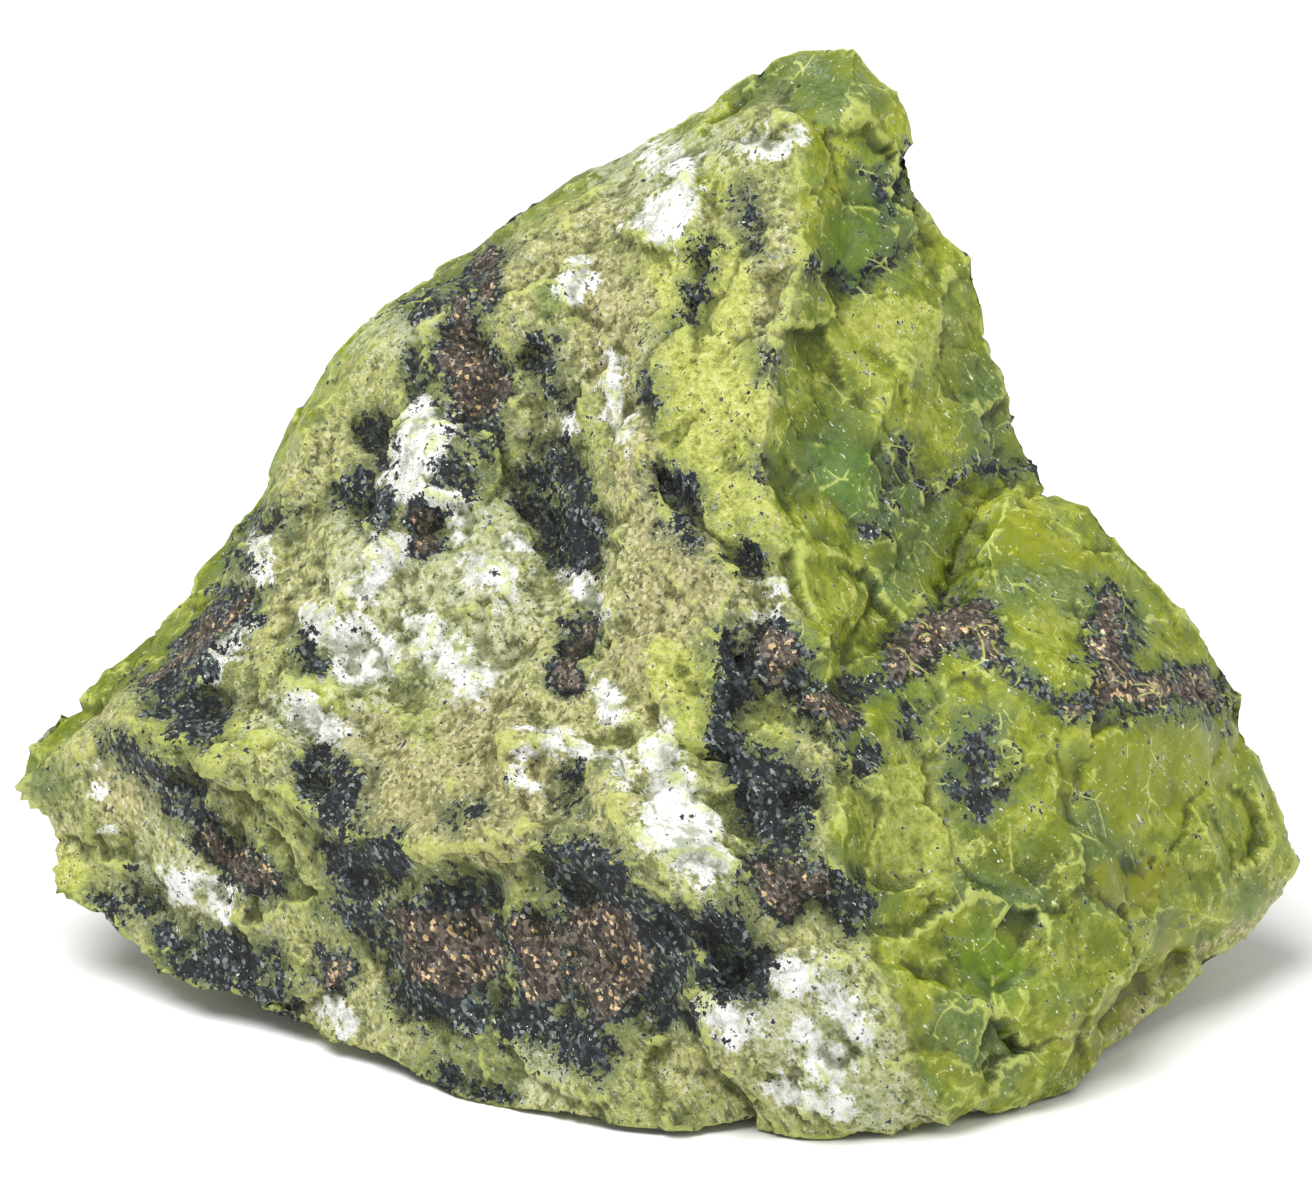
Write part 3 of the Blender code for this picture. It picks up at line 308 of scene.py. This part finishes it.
def viewed(points):
    """Across, down and toward in the front view, for points of the stone."""
    offset = points - MIDDLE
    toward = offset @ TOWARD
    spread = (EYE_DISTANCE - toward) / EYE_DISTANCE
    across = offset[:, 0] / spread + VIEW_WIDTH / 2
    down = VIEW_HEIGHT / 2 - offset @ UPWARD / spread
    return np.column_stack((across, down, toward))


def fade(value, low, high):
    """From 0 at low to 1 at high, without a kink."""
    part = np.clip((value - low) / (high - low), 0, 1)
    return part * part * (3 - 2 * part)


def distances(points, line):
    """How far each point is from a line of straight pieces, and on which hand of it."""
    line = np.asarray(line, dtype=float)
    if len(line) == 1:
        return np.linalg.norm(points - line[0], axis=1), np.zeros(len(points))
    nearest, hand = np.full(len(points), np.inf), np.zeros(len(points))
    for start, end in zip(line[:-1], line[1:]):
        run = end - start
        along = np.clip((points - start) @ run / (run @ run), 0, 1)
        away = points - start - np.outer(along, run)
        distance = np.linalg.norm(away, axis=1)
        closer = distance < nearest
        nearest = np.where(closer, distance, nearest)
        hand = np.where(closer, np.sign(run[0] * away[:, 1] - run[1] * away[:, 0]), hand)
    return nearest, hand


def chance(cells, salt):
    """A number from 0 to 1 for each cell, always the same for the same cell and salt."""
    mixed = np.sin(cells @ np.array([12.9898, 78.233, 37.719]) + salt * 4.1414) * 43758.5453
    return mixed - np.floor(mixed)


def nearby_cells(points, size, salt):
    """Each of the 27 cells about the points, with the way from its own centre and its own lean."""
    scaled = points / size
    home = np.floor(scaled)
    for step in itertools.product((-1, 0, 1), repeat=3):
        cell = home + step
        away = scaled - cell - np.column_stack([chance(cell, salt + i) for i in range(3)])
        lean = np.column_stack([chance(cell, salt + 3 + i) - 0.5 for i in range(3)])
        yield cell, away, (away * lean).sum(axis=1)


def scars(points, size, salt):
    """Shallow bowls of about this size that meet in sharp ridges, from about -1 to 1."""
    lowest = np.full(len(points), np.inf)
    for cell, away, leaning in nearby_cells(points, size, salt):
        bowl = (away ** 2).sum(axis=1) + leaning * 1.6 + 0.6 * chance(cell, salt + 6)
        lowest = np.minimum(lowest, bowl)
    return (lowest - lowest.mean()) / lowest.std() / 2


def flakes(points, size, salt):
    """Flat breaks of about this size, each with its own tilt and step, in millimetres."""
    nearest, height = np.full(len(points), np.inf), np.zeros(len(points))
    for cell, away, leaning in nearby_cells(points, size, salt):
        distance = (away ** 2).sum(axis=1)
        closer = distance < nearest
        nearest = np.where(closer, distance, nearest)
        level = leaning * FLAKE_TILT + (chance(cell, salt + 6) - 0.5) * FLAKE_STEP
        height = np.where(closer, level * size, height)
    return height


def lumps(points, size, depth=2):
    """Gentle swells of about this size, with finer ones on them, from about -1 to 1."""
    scaled = points / size
    return np.array([noise.fractal(Vector(p), 0.9, 2.1, depth) for p in scaled])


def normals(points, triangles):
    """The direction that the surface faces at each point."""
    a, b, c = (points[triangles[:, i]] for i in range(3))
    facing = np.cross(b - a, c - a)
    total = np.zeros_like(points)
    for i in range(3):
        np.add.at(total, triangles[:, i], facing)
    return total / np.maximum(np.linalg.norm(total, axis=1), 1e-9)[:, None]


def neighbour_mean(values, triangles, count):
    """The mean of the values at each point's neighbours."""
    total = np.zeros((count,) + values.shape[1:])
    near = np.zeros(count)
    for a, b in ((0, 1), (1, 2), (2, 0)):
        np.add.at(total, triangles[:, a], values[triangles[:, b]])
        np.add.at(near, triangles[:, a], 1)
    return total / near.reshape((-1,) + (1,) * (values.ndim - 1))


def arrays(solid):
    """The mesh's points, and the three point numbers of each of its triangles."""
    solid.verts.ensure_lookup_table()
    solid.verts.index_update()
    points = np.array([vertex.co for vertex in solid.verts], dtype=float)
    triangles = np.array([[vertex.index for vertex in face.verts] for face in solid.faces])
    return points, triangles


def finer_stone(node):
    """The frame's stone in millimetres and small triangles, eased between its sharp edges."""
    solid = bmesh.new()
    solid.from_mesh(node.data)
    bmesh.ops.remove_doubles(solid, verts=solid.verts, dist=1e-6)
    bmesh.ops.scale(solid, vec=(1 / MM,) * 3, verts=solid.verts)
    bmesh.ops.triangulate(solid, faces=solid.faces)
    solid.normal_update()
    angles = {edge: edge.calc_face_angle(0.0) for edge in solid.edges}
    keen = solid.verts.layers.float.new("keen")
    for vertex in solid.verts:
        vertex[keen] = max(angles[edge] for edge in vertex.link_edges)
    bmesh.ops.subdivide_edges(solid, edges=solid.edges, cuts=1, use_grid_fill=True)
    bmesh.ops.triangulate(solid, faces=[face for face in solid.faces if len(face.verts) > 3])
    points, triangles = arrays(solid)
    sharp = np.array([vertex[keen] for vertex in solid.verts])
    ease = EASE * (1 - fade(sharp, EASED_ANGLE, SHARP_ANGLE))
    ease *= points[:, 2] > STANDING
    for _ in range(EASE_ROUNDS):
        points += (neighbour_mean(points, triangles, len(points)) - points) * ease[:, None]
    for vertex, point in zip(solid.verts, points):
        vertex.co = point
    coarser = 1.0
    toward = Vector(TOWARD)
    for _ in range(SPLIT_ROUNDS):
        solid.normal_update()
        split = []
        for edge in solid.edges:
            seen = sum(face.normal.dot(toward) for face in edge.link_faces) > TURNED_AWAY
            if edge.calc_length() > coarser * (FRONT_EDGE if seen else REAR_EDGE):
                split.append(edge)
        if not split:
            break
        bmesh.ops.subdivide_edges(solid, edges=split, cuts=1)
        bmesh.ops.triangulate(solid, faces=[face for face in solid.faces if len(face.verts) > 3])
    return solid


def strokes(view, marks, soft):
    """From 0 outside the strokes to 1 inside them, and a half on their edges."""
    found = np.zeros(len(view))
    for half_width, line in marks:
        away = distances(view[:, :2], line)[0]
        found = np.maximum(found, np.clip(0.5 + (half_width - away) / (2 * soft), 0, 1))
    return found


def warped(view, points):
    """The front view's points, moved a little, so that straight strokes get natural borders."""
    moved = view[:, :2].copy()
    for size, reach in ((8.0, 1.5), (2.6, 1.1)):
        moved[:, 0] += reach * lumps(points + 11.0, size)
        moved[:, 1] += reach * lumps(points + 57.0, size)
    return moved


def along_fibres(points):
    """The points, squeezed along the fibres, so that what is cut there gets long."""
    return points - FIBRE_SQUEEZE * np.outer(points @ FIBRES, FIBRES)


def granular_share(loose, front):
    """1 on the granular left side, and 0 on the waxy right side and the strip behind the left."""
    spine, strip = np.array(SPINE), np.array(STRIP)
    beyond = loose[:, 0] - np.interp(loose[:, 1], spine[:, 1], spine[:, 0])
    off_strip = distances(loose, STRIP)[0]
    off_strip = np.where(loose[:, 1] < np.interp(loose[:, 0], *strip.T), 0.0, off_strip)
    return front * (1 - fade(beyond, -1.2, 1.2)) * fade(off_strip, 0.5, 3.0)


def calmness(view, front):
    """1 on the broad smooth breaks, and 0 away from them."""
    calm = np.zeros(len(view))
    for across, down, radius in CALM:
        away = np.hypot(view[:, 0] - across, view[:, 1] - down)
        calm = np.maximum(calm, front * (1 - fade(away, 0.6 * radius, radius)))
    return calm


def mineral_shares(view, loose, front):
    """Where each mineral and each kind of surface is, on the side that the front view shows."""
    found = {name: front * strokes(loose, *mineral) for name, mineral in MINERALS.items()}
    halo = [(width + HALO_WIDER, line) for width, line in BLACK + BRONZE]
    found["halo"] = front * strokes(loose, halo, HALO_SOFT)
    round_bronze = [(width + RIM_WIDER, line) for width, line in BRONZE]
    found["black"] = np.maximum(found["black"], front * strokes(loose, round_bronze, RIM_SOFT))
    found["black"] = np.minimum(found["black"], MOST_BLACK)
    found["granular"] = granular_share(loose, front)
    found["calm"] = calmness(view, front)
    return found


def small_breaks(points, granular):
    """The relief of the granular and of the waxy side, in millimetres."""
    fibrous = along_fibres(points)
    wander = np.column_stack([lumps(points + place, 4.0) for place in WANDER_PLACES])
    shaken = points + WANDER * wander
    fibrous_shaken = along_fibres(shaken)
    grainy = sum(share * flakes(fibrous_shaken, size, salt) for share, size, salt in GRAINY_FLAKES)
    grainy += SCAR_HEIGHT * scars(fibrous, 4.5, 71) + LUMP_HEIGHT * lumps(fibrous, 1.5, 3)
    waxy = sum(share * flakes(shaken, size, salt) for share, size, salt in WAXY_FLAKES)
    waxy += SCAR_HEIGHT * scars(points, 7.0, 81)
    return granular * grainy + (1 - granular) * waxy


def fold_steps(loose):
    """From 0 to 1 on the higher side of each fold, less with distance."""
    step = np.zeros(len(loose))
    for line in FOLDS:
        away, hand = distances(loose, line)
        step = np.maximum(step, fade(away * hand, -0.3, 0.3) * np.exp(-away / FOLD_REACH))
    return step


def chip_steps(loose):
    """The chips' relief, added up, and from 0 to 1 how near each point is to a chip's edge, which the
    material lightens as a painted highlight.
    """
    relief, rim = np.zeros(len(loose)), np.zeros(len(loose))
    for line in CHIPS:
        away, hand = distances(loose, line)
        signed = away * hand
        relief += fade(signed, -0.25, 0.25) * np.exp(-away / CHIP_REACH)
        rim = np.maximum(rim, (1 - fade(np.abs(signed - 0.1), 0.05, 0.35)) * (away < 1.5))
    return relief, rim


def carve(points, triangles):
    """Adds the finer breaks, and returns the points with what the minerals need to know."""
    facing = normals(points, triangles)
    view = viewed(points)
    loose = warped(view, points)
    front = fade(facing @ TOWARD, -0.15, 0.15)
    found = mineral_shares(view, loose, front)
    rough = (1 - 0.8 * found["calm"]) * fade(points[:, 2], 0.0, 1.5)
    relief = rough * small_breaks(points, found["granular"])
    relief += WHITE_RISE * found["white"] - BLACK_DIP * found["black"]
    relief += found["bronze"] * (BRONZE_RISE + CRYSTAL_RISE * scars(points, 1.3, 41))
    relief += front * FOLD_HEIGHT * fold_steps(loose)
    off_end = np.hypot(view[:, 0] - SHARP_END[0], view[:, 1] - SHARP_END[1])
    relief *= fade(off_end, SHARP_NEAR, SHARP_FAR)
    chips, rim = chip_steps(loose)
    relief += front * CHIP_HEIGHT * chips
    # Painted highlight: the chips' rims, which the material lightens as if lit.
    found["rim"] = front * rim
    points = points + facing * relief[:, None]
    points[:, 2] = np.maximum(points[:, 2], 0.0)
    return points, front, found


def standing_out(points, triangles, rounds):
    """How far each point stands out from its surroundings: above 0 on ridges, below in hollows."""
    facing = normals(points, triangles)
    around = points
    for _ in range(rounds):
        around = neighbour_mean(around, triangles, len(points))
    return ((points - around) * facing).sum(axis=1)


def stone_mesh(node):
    """The carved stone, with the share of each mineral at each point, and where painted highlight goes on
    its ridges and chip rims and painted shade in its hollows.
    """
    solid = finer_stone(node)
    points, triangles = arrays(solid)
    solid.free()
    points, front, found = carve(points, triangles)
    near, wide = standing_out(points, triangles, 3), standing_out(points, triangles, 24)
    # Painted highlight: how far each point stands out on a ridge, which the material lightens as if lit.
    found["ridge_highlight"] = np.clip(near / 0.15, 0, 1.4)
    # Painted shade: how deep each point lies in a hollow, near and wide, which the material darkens as if
    # shaded.
    hollow_shade = 0.5 * np.clip(-near / 0.16, 0, 1) + 0.7 * np.clip(-wide / 0.75, 0, 1)
    found["hollow_shade"] = np.clip(hollow_shade, 0, 1)
    patch, cloud = lumps(points + 31.0, 17.0, 3), lumps(points + 140.0, 12.0, 3)
    vein = np.abs(lumps(points + 77.0, 22.0, 2))
    beyond_view = {
        "black": 0.85 - 0.85 * fade(vein, 0.0, 0.17),
        "halo": 0.9 - 0.9 * fade(vein, 0.06, 0.30),
        "pale": 0.7 * fade(cloud - patch, 0.5, 1.0),
        "white": 0.8 * fade(cloud, 0.45, 0.9),
        "bronze": 0.8 * fade(patch, 0.7, 1.0),
        "deep": 0.8 * fade(patch, 0.0, 0.5),
        "emerald": 0.7 * fade(-patch, 0.35, 0.7),
        "lime": 0.7 * fade(-cloud, 0.1, 0.6),
        "granular": 0.8 * fade(-cloud - patch, 0.2, 0.6),
    }
    for name, values in beyond_view.items():
        found[name] = np.maximum(found[name], (1 - front) * values)
    mesh = bpy.data.meshes.new("serpentine")
    mesh.from_pydata((points * MM).tolist(), [], triangles.tolist())
    mesh.shade_smooth()
    for name, values in found.items():
        layer = mesh.attributes.new(name, "FLOAT", "POINT")
        layer.data.foreach_set("value", values.astype(np.float32))
    return mesh


def linear(*colour):
    """A colour given from 0 to 255, as the renderer wants it."""
    parts = [c / 255 for c in colour]
    return tuple(((p + 0.055) / 1.055) ** 2.4 if p > 0.0393 else p / 12.92 for p in parts) + (1.0,)


# How far the material's hairline cracks wander, in parts of the size of the patches between them.
CRACK_WANDER = 1.5


class Nodes:
    """Short words for building a material."""

    def __init__(self, material):
        self.tree = material.node_tree
        self.coordinates = self.new("ShaderNodeTexCoord").outputs["Object"]

    def new(self, kind, **settings):
        node = self.tree.nodes.new(kind)
        for name, value in settings.items():
            setattr(node, name, value)
        return node

    def put(self, socket, value):
        """Links the socket to an output, or gives it a plain value."""
        if isinstance(value, bpy.types.NodeSocket):
            self.tree.links.new(value, socket)
        else:
            socket.default_value = value

    def attribute(self, name):
        """What stone_mesh stored under this name."""
        return self.new("ShaderNodeAttribute", attribute_name=name).outputs["Fac"]

    def place(self, size, stretch, offset):
        """Coordinates for features of about this size in millimetres, stretched along the fibres."""
        node = self.new("ShaderNodeMapping", vector_type="TEXTURE")
        self.put(node.inputs["Vector"], self.coordinates)
        node.inputs["Location"].default_value = [offset * MM] * 3
        node.inputs["Rotation"].default_value = (0.0, FIBRE_FALL, 0.0)
        node.inputs["Scale"].default_value = [size * MM * stretch, size * MM, size * MM]
        return node.outputs["Vector"]

    def noise(self, size, detail, roughness, stretch=1.0, offset=0.0):
        """Clouds of about this size in millimetres, from 0 to 1."""
        node = self.new("ShaderNodeTexNoise")
        self.put(node.inputs["Vector"], self.place(size, stretch, offset))
        node.inputs["Scale"].default_value = 1.0
        node.inputs["Detail"].default_value = detail
        node.inputs["Roughness"].default_value = roughness
        return node.outputs["Fac"]

    def cells(self, size, stretch):
        """Grains of about this size in millimetres, each with its own value."""
        node = self.new("ShaderNodeTexVoronoi")
        self.put(node.inputs["Vector"], self.place(size, stretch, 0.0))
        node.inputs["Scale"].default_value = 1.0
        return node.outputs["Color"]

    def cracks(self, size, offset):
        """How near the ragged border between two patches of about this size in millimetres is."""
        shift = self.new("ShaderNodeTexNoise")
        self.put(shift.inputs["Vector"], self.place(size, 1.0, offset))
        shift.inputs["Scale"].default_value = 1.0
        shift.inputs["Detail"].default_value = 0.0
        moved = self.new("ShaderNodeVectorMath", operation="MULTIPLY_ADD")
        self.put(moved.inputs[0], shift.outputs["Color"])
        moved.inputs[1].default_value = (CRACK_WANDER,) * 3
        self.put(moved.inputs[2], self.place(size, 1.0, offset))
        node = self.new("ShaderNodeTexVoronoi", feature="DISTANCE_TO_EDGE")
        self.put(node.inputs["Vector"], moved.outputs["Vector"])
        node.inputs["Scale"].default_value = 1.0
        return node.outputs["Distance"]

    def math(self, how, *values):
        node = self.new("ShaderNodeMath", operation=how)
        for socket, value in zip(node.inputs, values):
            self.put(socket, value)
        return node.outputs["Value"]

    def sum(self, first, *parts):
        """first plus each noise of parts, taken about its middle and multiplied."""
        for noise_value, share in parts:
            middle = self.math("SUBTRACT", noise_value, 0.5)
            first = self.math("ADD", first, self.math("MULTIPLY", middle, share))
        return first

    def step(self, value, low, high, to_low=0.0, to_high=1.0):
        """From to_low up to low, to to_high from high on."""
        node = self.new("ShaderNodeMapRange", interpolation_type="SMOOTHSTEP")
        for name, given in (("Value", value), ("From Min", low), ("From Max", high),
                            ("To Min", to_low), ("To Max", to_high)):
            self.put(node.inputs[name], given)
        return node.outputs["Result"]

    def ramp(self, value, *stops):
        """Colours from 0 to 255, each at its place from 0 to 1."""
        node = self.new("ShaderNodeValToRGB")
        self.put(node.inputs["Fac"], value)
        elements = node.color_ramp.elements
        for element, (place, colour) in zip(elements, (stops[0], stops[-1])):
            element.position, element.color = place, linear(*colour)
        for place, colour in stops[1:-1]:
            elements.new(place).color = linear(*colour)
        return node.outputs["Color"]

    def mix(self, amount, first, second, how="MIX"):
        node = self.new("ShaderNodeMix", data_type="RGBA", blend_type=how)
        self.put(node.inputs[0], amount)
        self.put(node.inputs[6], first)
        self.put(node.inputs[7], linear(*second) if isinstance(second, tuple) else second)
        return node.outputs[2]

    def blend(self, amount, first, second):
        node = self.new("ShaderNodeMix", data_type="FLOAT")
        self.put(node.inputs[0], amount)
        self.put(node.inputs[2], first)
        self.put(node.inputs[3], second)
        return node.outputs[0]


def stone_material():
    """Waxy and granular serpentine, with its minerals one on the other."""
    material = bpy.data.materials.new("serpentine")
    material.use_nodes = True
    n = Nodes(material)
    surface = material.node_tree.nodes["Principled BSDF"]

    fine = n.noise(0.8, detail=4, roughness=0.72)
    middle = n.noise(2.8, detail=4, roughness=0.68, offset=700)
    broad = n.noise(16.0, detail=3, roughness=0.55, offset=300)
    fibre = n.noise(0.9, detail=3, roughness=0.7, stretch=3.2, offset=50)
    crumbs = n.cells(0.38, stretch=1.4)
    cracks = n.cracks(6.0, 33)
    granular, calm = n.attribute("granular"), n.attribute("calm")

    def mask(name, broad_wear, fine_wear, keen, amount=1.0):
        """A mineral's strokes with worn edges."""
        worn = n.sum(n.attribute(name), (middle, broad_wear), (fine, fine_wear),
                     (fibre, fine_wear * 0.6))
        return n.step(worn, 0.5 - keen, 0.5 + keen, 0, amount)

    waxy = n.ramp(broad, (0.30, (92, 104, 8)), (0.43, (120, 132, 14)), (0.55, (142, 152, 24)),
                  (0.70, (164, 170, 48)))
    waxy = n.mix(n.step(middle, 0.44, 0.66, 0, 0.65), waxy, (178, 184, 80))
    waxy = n.mix(n.step(middle, 0.34, 0.52, 0.65, 0), waxy, (84, 102, 22))
    cooler = n.noise(5.0, detail=3, roughness=0.6, offset=60)
    waxy = n.mix(n.step(cooler, 0.5, 0.66, 0, 0.5), waxy, (112, 136, 66))
    mosaic = n.ramp(crumbs, (0.05, (70, 80, 56)), (0.2, (132, 136, 86)), (0.4, (178, 178, 112)),
                    (0.6, (204, 202, 132)), (0.8, (226, 224, 176)), (1.0, (250, 248, 238)))
    matrix = n.ramp(fine, (0.35, (88, 94, 56)), (0.44, (152, 152, 88)), (0.53, (192, 188, 118)),
                    (0.63, (236, 232, 190)))
    grainy = n.mix(0.5, matrix, mosaic)
    grainy = n.mix(n.step(broad, 0.44, 0.62, 0, 0.45), grainy, (150, 162, 72))
    grainy = n.mix(n.step(middle, 0.56, 0.68, 0, 0.5), grainy, (198, 200, 152))
    grainy = n.mix(n.step(middle, 0.36, 0.47, 0.65, 0), grainy, (92, 102, 64))
    grainy = n.mix(n.step(fibre, 0.36, 0.48, 0.7, 0), grainy, (76, 84, 54))
    waxy = n.mix(n.math("MULTIPLY", calm, 0.6), waxy, (122, 130, 4))
    colour = n.mix(granular, waxy, grainy)

    olive = n.ramp(crumbs, (0.1, (104, 98, 62)), (0.35, (152, 146, 96)), (0.65, (184, 178, 126)),
                   (0.95, (220, 214, 170)))
    colour = n.mix(mask("olive", 1.0, 0.6, 0.2, 0.8), colour, olive)
    lime = n.ramp(fine, (0.36, (132, 144, 52)), (0.45, (176, 184, 80)), (0.54, (204, 208, 104)),
                  (0.66, (226, 228, 150)))
    lime_share = n.math("MULTIPLY", mask("lime", 1.2, 0.8, 0.25), n.blend(granular, 0.5, 0.8))
    colour = n.mix(lime_share, colour, lime)
    deep = n.ramp(fine, (0.32, (50, 74, 44)), (0.5, (76, 102, 56)), (0.66, (112, 134, 84)))
    colour = n.mix(mask("deep", 1.6, 0.8, 0.3, 0.7), colour, deep)
    colour = n.mix(mask("halo", 1.4, 1.6, 0.12, 0.5), colour, (72, 92, 64))
    emerald = n.ramp(middle, (0.35, (56, 96, 16)), (0.6, (92, 130, 30)))
    colour = n.mix(mask("emerald", 1.8, 0.9, 0.3, 0.6), colour, emerald)
    colour = n.mix(mask("amber", 0.6, 0.4, 0.3, 0.7), colour, (130, 132, 6))
    pale = n.ramp(fine, (0.36, (150, 158, 104)), (0.48, (198, 204, 164)), (0.60, (228, 230, 214)))
    colour = n.mix(mask("pale", 2.4, 2.4, 0.12, 0.45), colour, pale)

    bronze_mask = mask("bronze", 1.0, 1.2, 0.04)
    bronze = n.ramp(crumbs, (0.15, (36, 30, 25)), (0.38, (76, 66, 56)), (0.62, (112, 100, 88)),
                    (0.8, (148, 136, 122)), (1.0, (190, 178, 162)))
    bronze = n.mix(n.step(fine, 0.42, 0.50, 0.75, 0), bronze, (38, 36, 32))
    gold_mask = n.math("MULTIPLY", bronze_mask, n.step(crumbs, 0.79, 0.82))
    white_mask = mask("white", 1.6, 1.3, 0.12)
    white = n.ramp(middle, (0.38, (170, 176, 156)), (0.47, (222, 224, 214)), (0.57, (250, 249, 246)))
    white = n.mix(n.step(fibre, 0.36, 0.46, 0.5, 0), white, (150, 154, 132))
    black_mask = mask("black", 1.9, 2.4, 0.05)
    black = n.ramp(crumbs, (0.35, (14, 17, 20)), (0.58, (32, 39, 43)), (0.74, (66, 79, 82)),
                   (0.92, (148, 158, 154)))
    colour = n.mix(white_mask, colour, white)
    colour = n.mix(black_mask, colour, black)
    colour = n.mix(bronze_mask, colour, bronze)
    colour = n.mix(n.math("MULTIPLY", gold_mask, 0.85), colour, (240, 206, 156))

    specks = n.step(n.noise(1.0, detail=2, roughness=0.8, offset=230), 0.65, 0.675, 0, 0.85)
    colour = n.mix(n.math("MULTIPLY", specks, n.blend(granular, 0.35, 1.0)), colour, (40, 48, 42))
    flecks = n.step(n.noise(0.55, detail=2, roughness=0.9, stretch=2.2, offset=410), 0.665, 0.70, 0, 0.85)
    colour = n.mix(flecks, colour, (232, 234, 214))

    # Painted highlight: ridges and chip rims away from the black and bronze are lightened to a pale
    # yellow-green, standing in for glints on the flake edges. Hairline cracks, mostly on the waxy side,
    # get the same pale colour as real marks.
    bare = n.math("SUBTRACT", 1.0, n.math("MAXIMUM", black_mask, bronze_mask))
    edge = n.sum(n.math("MAXIMUM", n.attribute("rim"), n.attribute("ridge_highlight")), (fine, 0.8), (middle, 1.0))
    edge = n.math("MULTIPLY", n.step(edge, 0.7, 1.4, 0, 0.6), bare)
    crack = n.math("MULTIPLY", n.step(cracks, 0.012, 0.03, 1, 0), n.step(middle, 0.50, 0.56))
    edge = n.math("MAXIMUM", edge, n.math("MULTIPLY", crack, n.blend(granular, 0.6, 0.0)))
    colour = n.mix(edge, colour, (204, 212, 112))
    # Painted shade: the colour is darkened by multiplying in the hollows, standing in for the shade that
    # falls there.
    colour = n.mix(n.step(n.attribute("hollow_shade"), 0.1, 0.8, 0, 0.85), colour, (140, 144, 110), "MULTIPLY")
    n.put(surface.inputs["Base Color"], colour)

    roughness = n.sum(n.blend(granular, 0.33, 0.62), (fine, 0.5))
    roughness = n.blend(black_mask, roughness, 0.48)
    roughness = n.blend(gold_mask, roughness, 0.28)
    n.put(surface.inputs["Roughness"], roughness)
    n.put(surface.inputs["Metallic"], n.math("MULTIPLY", gold_mask, 0.8))
    surface.inputs["Specular IOR Level"].default_value = 0.42

    height = n.sum(0.0, (fine, 1.15), (fibre, 0.8))
    height = n.math("MULTIPLY", height, n.blend(granular, 0.5, 1.0))
    height = n.math("MULTIPLY", height, n.blend(calm, 1.0, 0.3))
    bump = n.new("ShaderNodeBump")
    bump.inputs["Strength"].default_value = 0.8
    bump.inputs["Distance"].default_value = 0.0007
    n.put(bump.inputs["Height"], height)
    n.put(surface.inputs["Normal"], bump.outputs["Normal"])
    return material


# The studio, in metres and watts. The floor lies just under the stone.
FLOOR_REACH = 6.0
FLOOR_GAP = 0.0002
FLOOR_COLOUR = (252, 252, 252)
KEY_PLACE, KEY_SIZE, KEY_POWER = (-0.35, -0.30, 1.15), 0.9, 17.0
FILL_PLACE, FILL_SIZE, FILL_POWER = (0.9, -0.2, 0.6), 0.4, 2.0
WORLD_LIGHT = 0.44


def plain_material(name, colour, roughness):
    material = bpy.data.materials.new(name)
    material.use_nodes = True
    surface = material.node_tree.nodes["Principled BSDF"]
    surface.inputs["Base Color"].default_value = linear(*colour)
    surface.inputs["Roughness"].default_value = roughness
    return material


def add_floor():
    mesh = bpy.data.meshes.new("floor")
    corners = [(FLOOR_REACH * x, FLOOR_REACH * y, 0) for x, y in ((-1, -1), (1, -1), (1, 1), (-1, 1))]
    mesh.from_pydata(corners, [], [(0, 1, 2, 3)])
    mesh.materials.append(plain_material("floor", FLOOR_COLOUR, 0.9))
    floor = bpy.data.objects.new("floor", mesh)
    floor.location.z = -FLOOR_GAP
    bpy.context.scene.collection.objects.link(floor)


def add_light(name, place, size, power):
    """A round soft light that points at the stone."""
    light = bpy.data.lights.new(name, "AREA")
    light.shape = "DISK"
    light.size = size
    light.energy = power
    lamp = bpy.data.objects.new(name, light)
    lamp.location = place
    lamp.rotation_euler = (Vector(MIDDLE * MM) - Vector(place)).to_track_quat("-Z", "Y").to_euler()
    bpy.context.scene.collection.objects.link(lamp)


def add_studio():
    add_floor()
    add_light("key", KEY_PLACE, KEY_SIZE, KEY_POWER)
    add_light("fill", FILL_PLACE, FILL_SIZE, FILL_POWER)
    world = bpy.data.worlds.new("studio")
    world.use_nodes = True
    background = world.node_tree.nodes["Background"]
    background.inputs["Color"].default_value = (1.0, 1.0, 1.0, 1.0)
    background.inputs["Strength"].default_value = WORLD_LIGHT
    bpy.context.scene.world = world
    bpy.context.scene.view_settings.view_transform = "Standard"


def add_camera():
    """The camera of the front view."""
    lens = bpy.data.cameras.new("camera")
    lens.sensor_width = SENSOR
    lens.lens = SENSOR * EYE_DISTANCE / VIEW_WIDTH
    lens.clip_start, lens.clip_end = 0.01, 50.0
    camera = bpy.data.objects.new("camera", lens)
    camera.location = placed_eye()
    camera.rotation_euler = (Vector(MIDDLE * MM) - placed_eye()).to_track_quat("-Z", "Y").to_euler()
    bpy.context.scene.collection.objects.link(camera)
    bpy.context.scene.camera = camera


mesh = stone_mesh(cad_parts[NODE])
mesh.materials.append(stone_material())
stone = bpy.data.objects.new("stone", mesh)
bpy.context.scene.collection.objects.link(stone)
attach(stone, "root")
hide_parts(NODE)
add_studio()
add_camera()
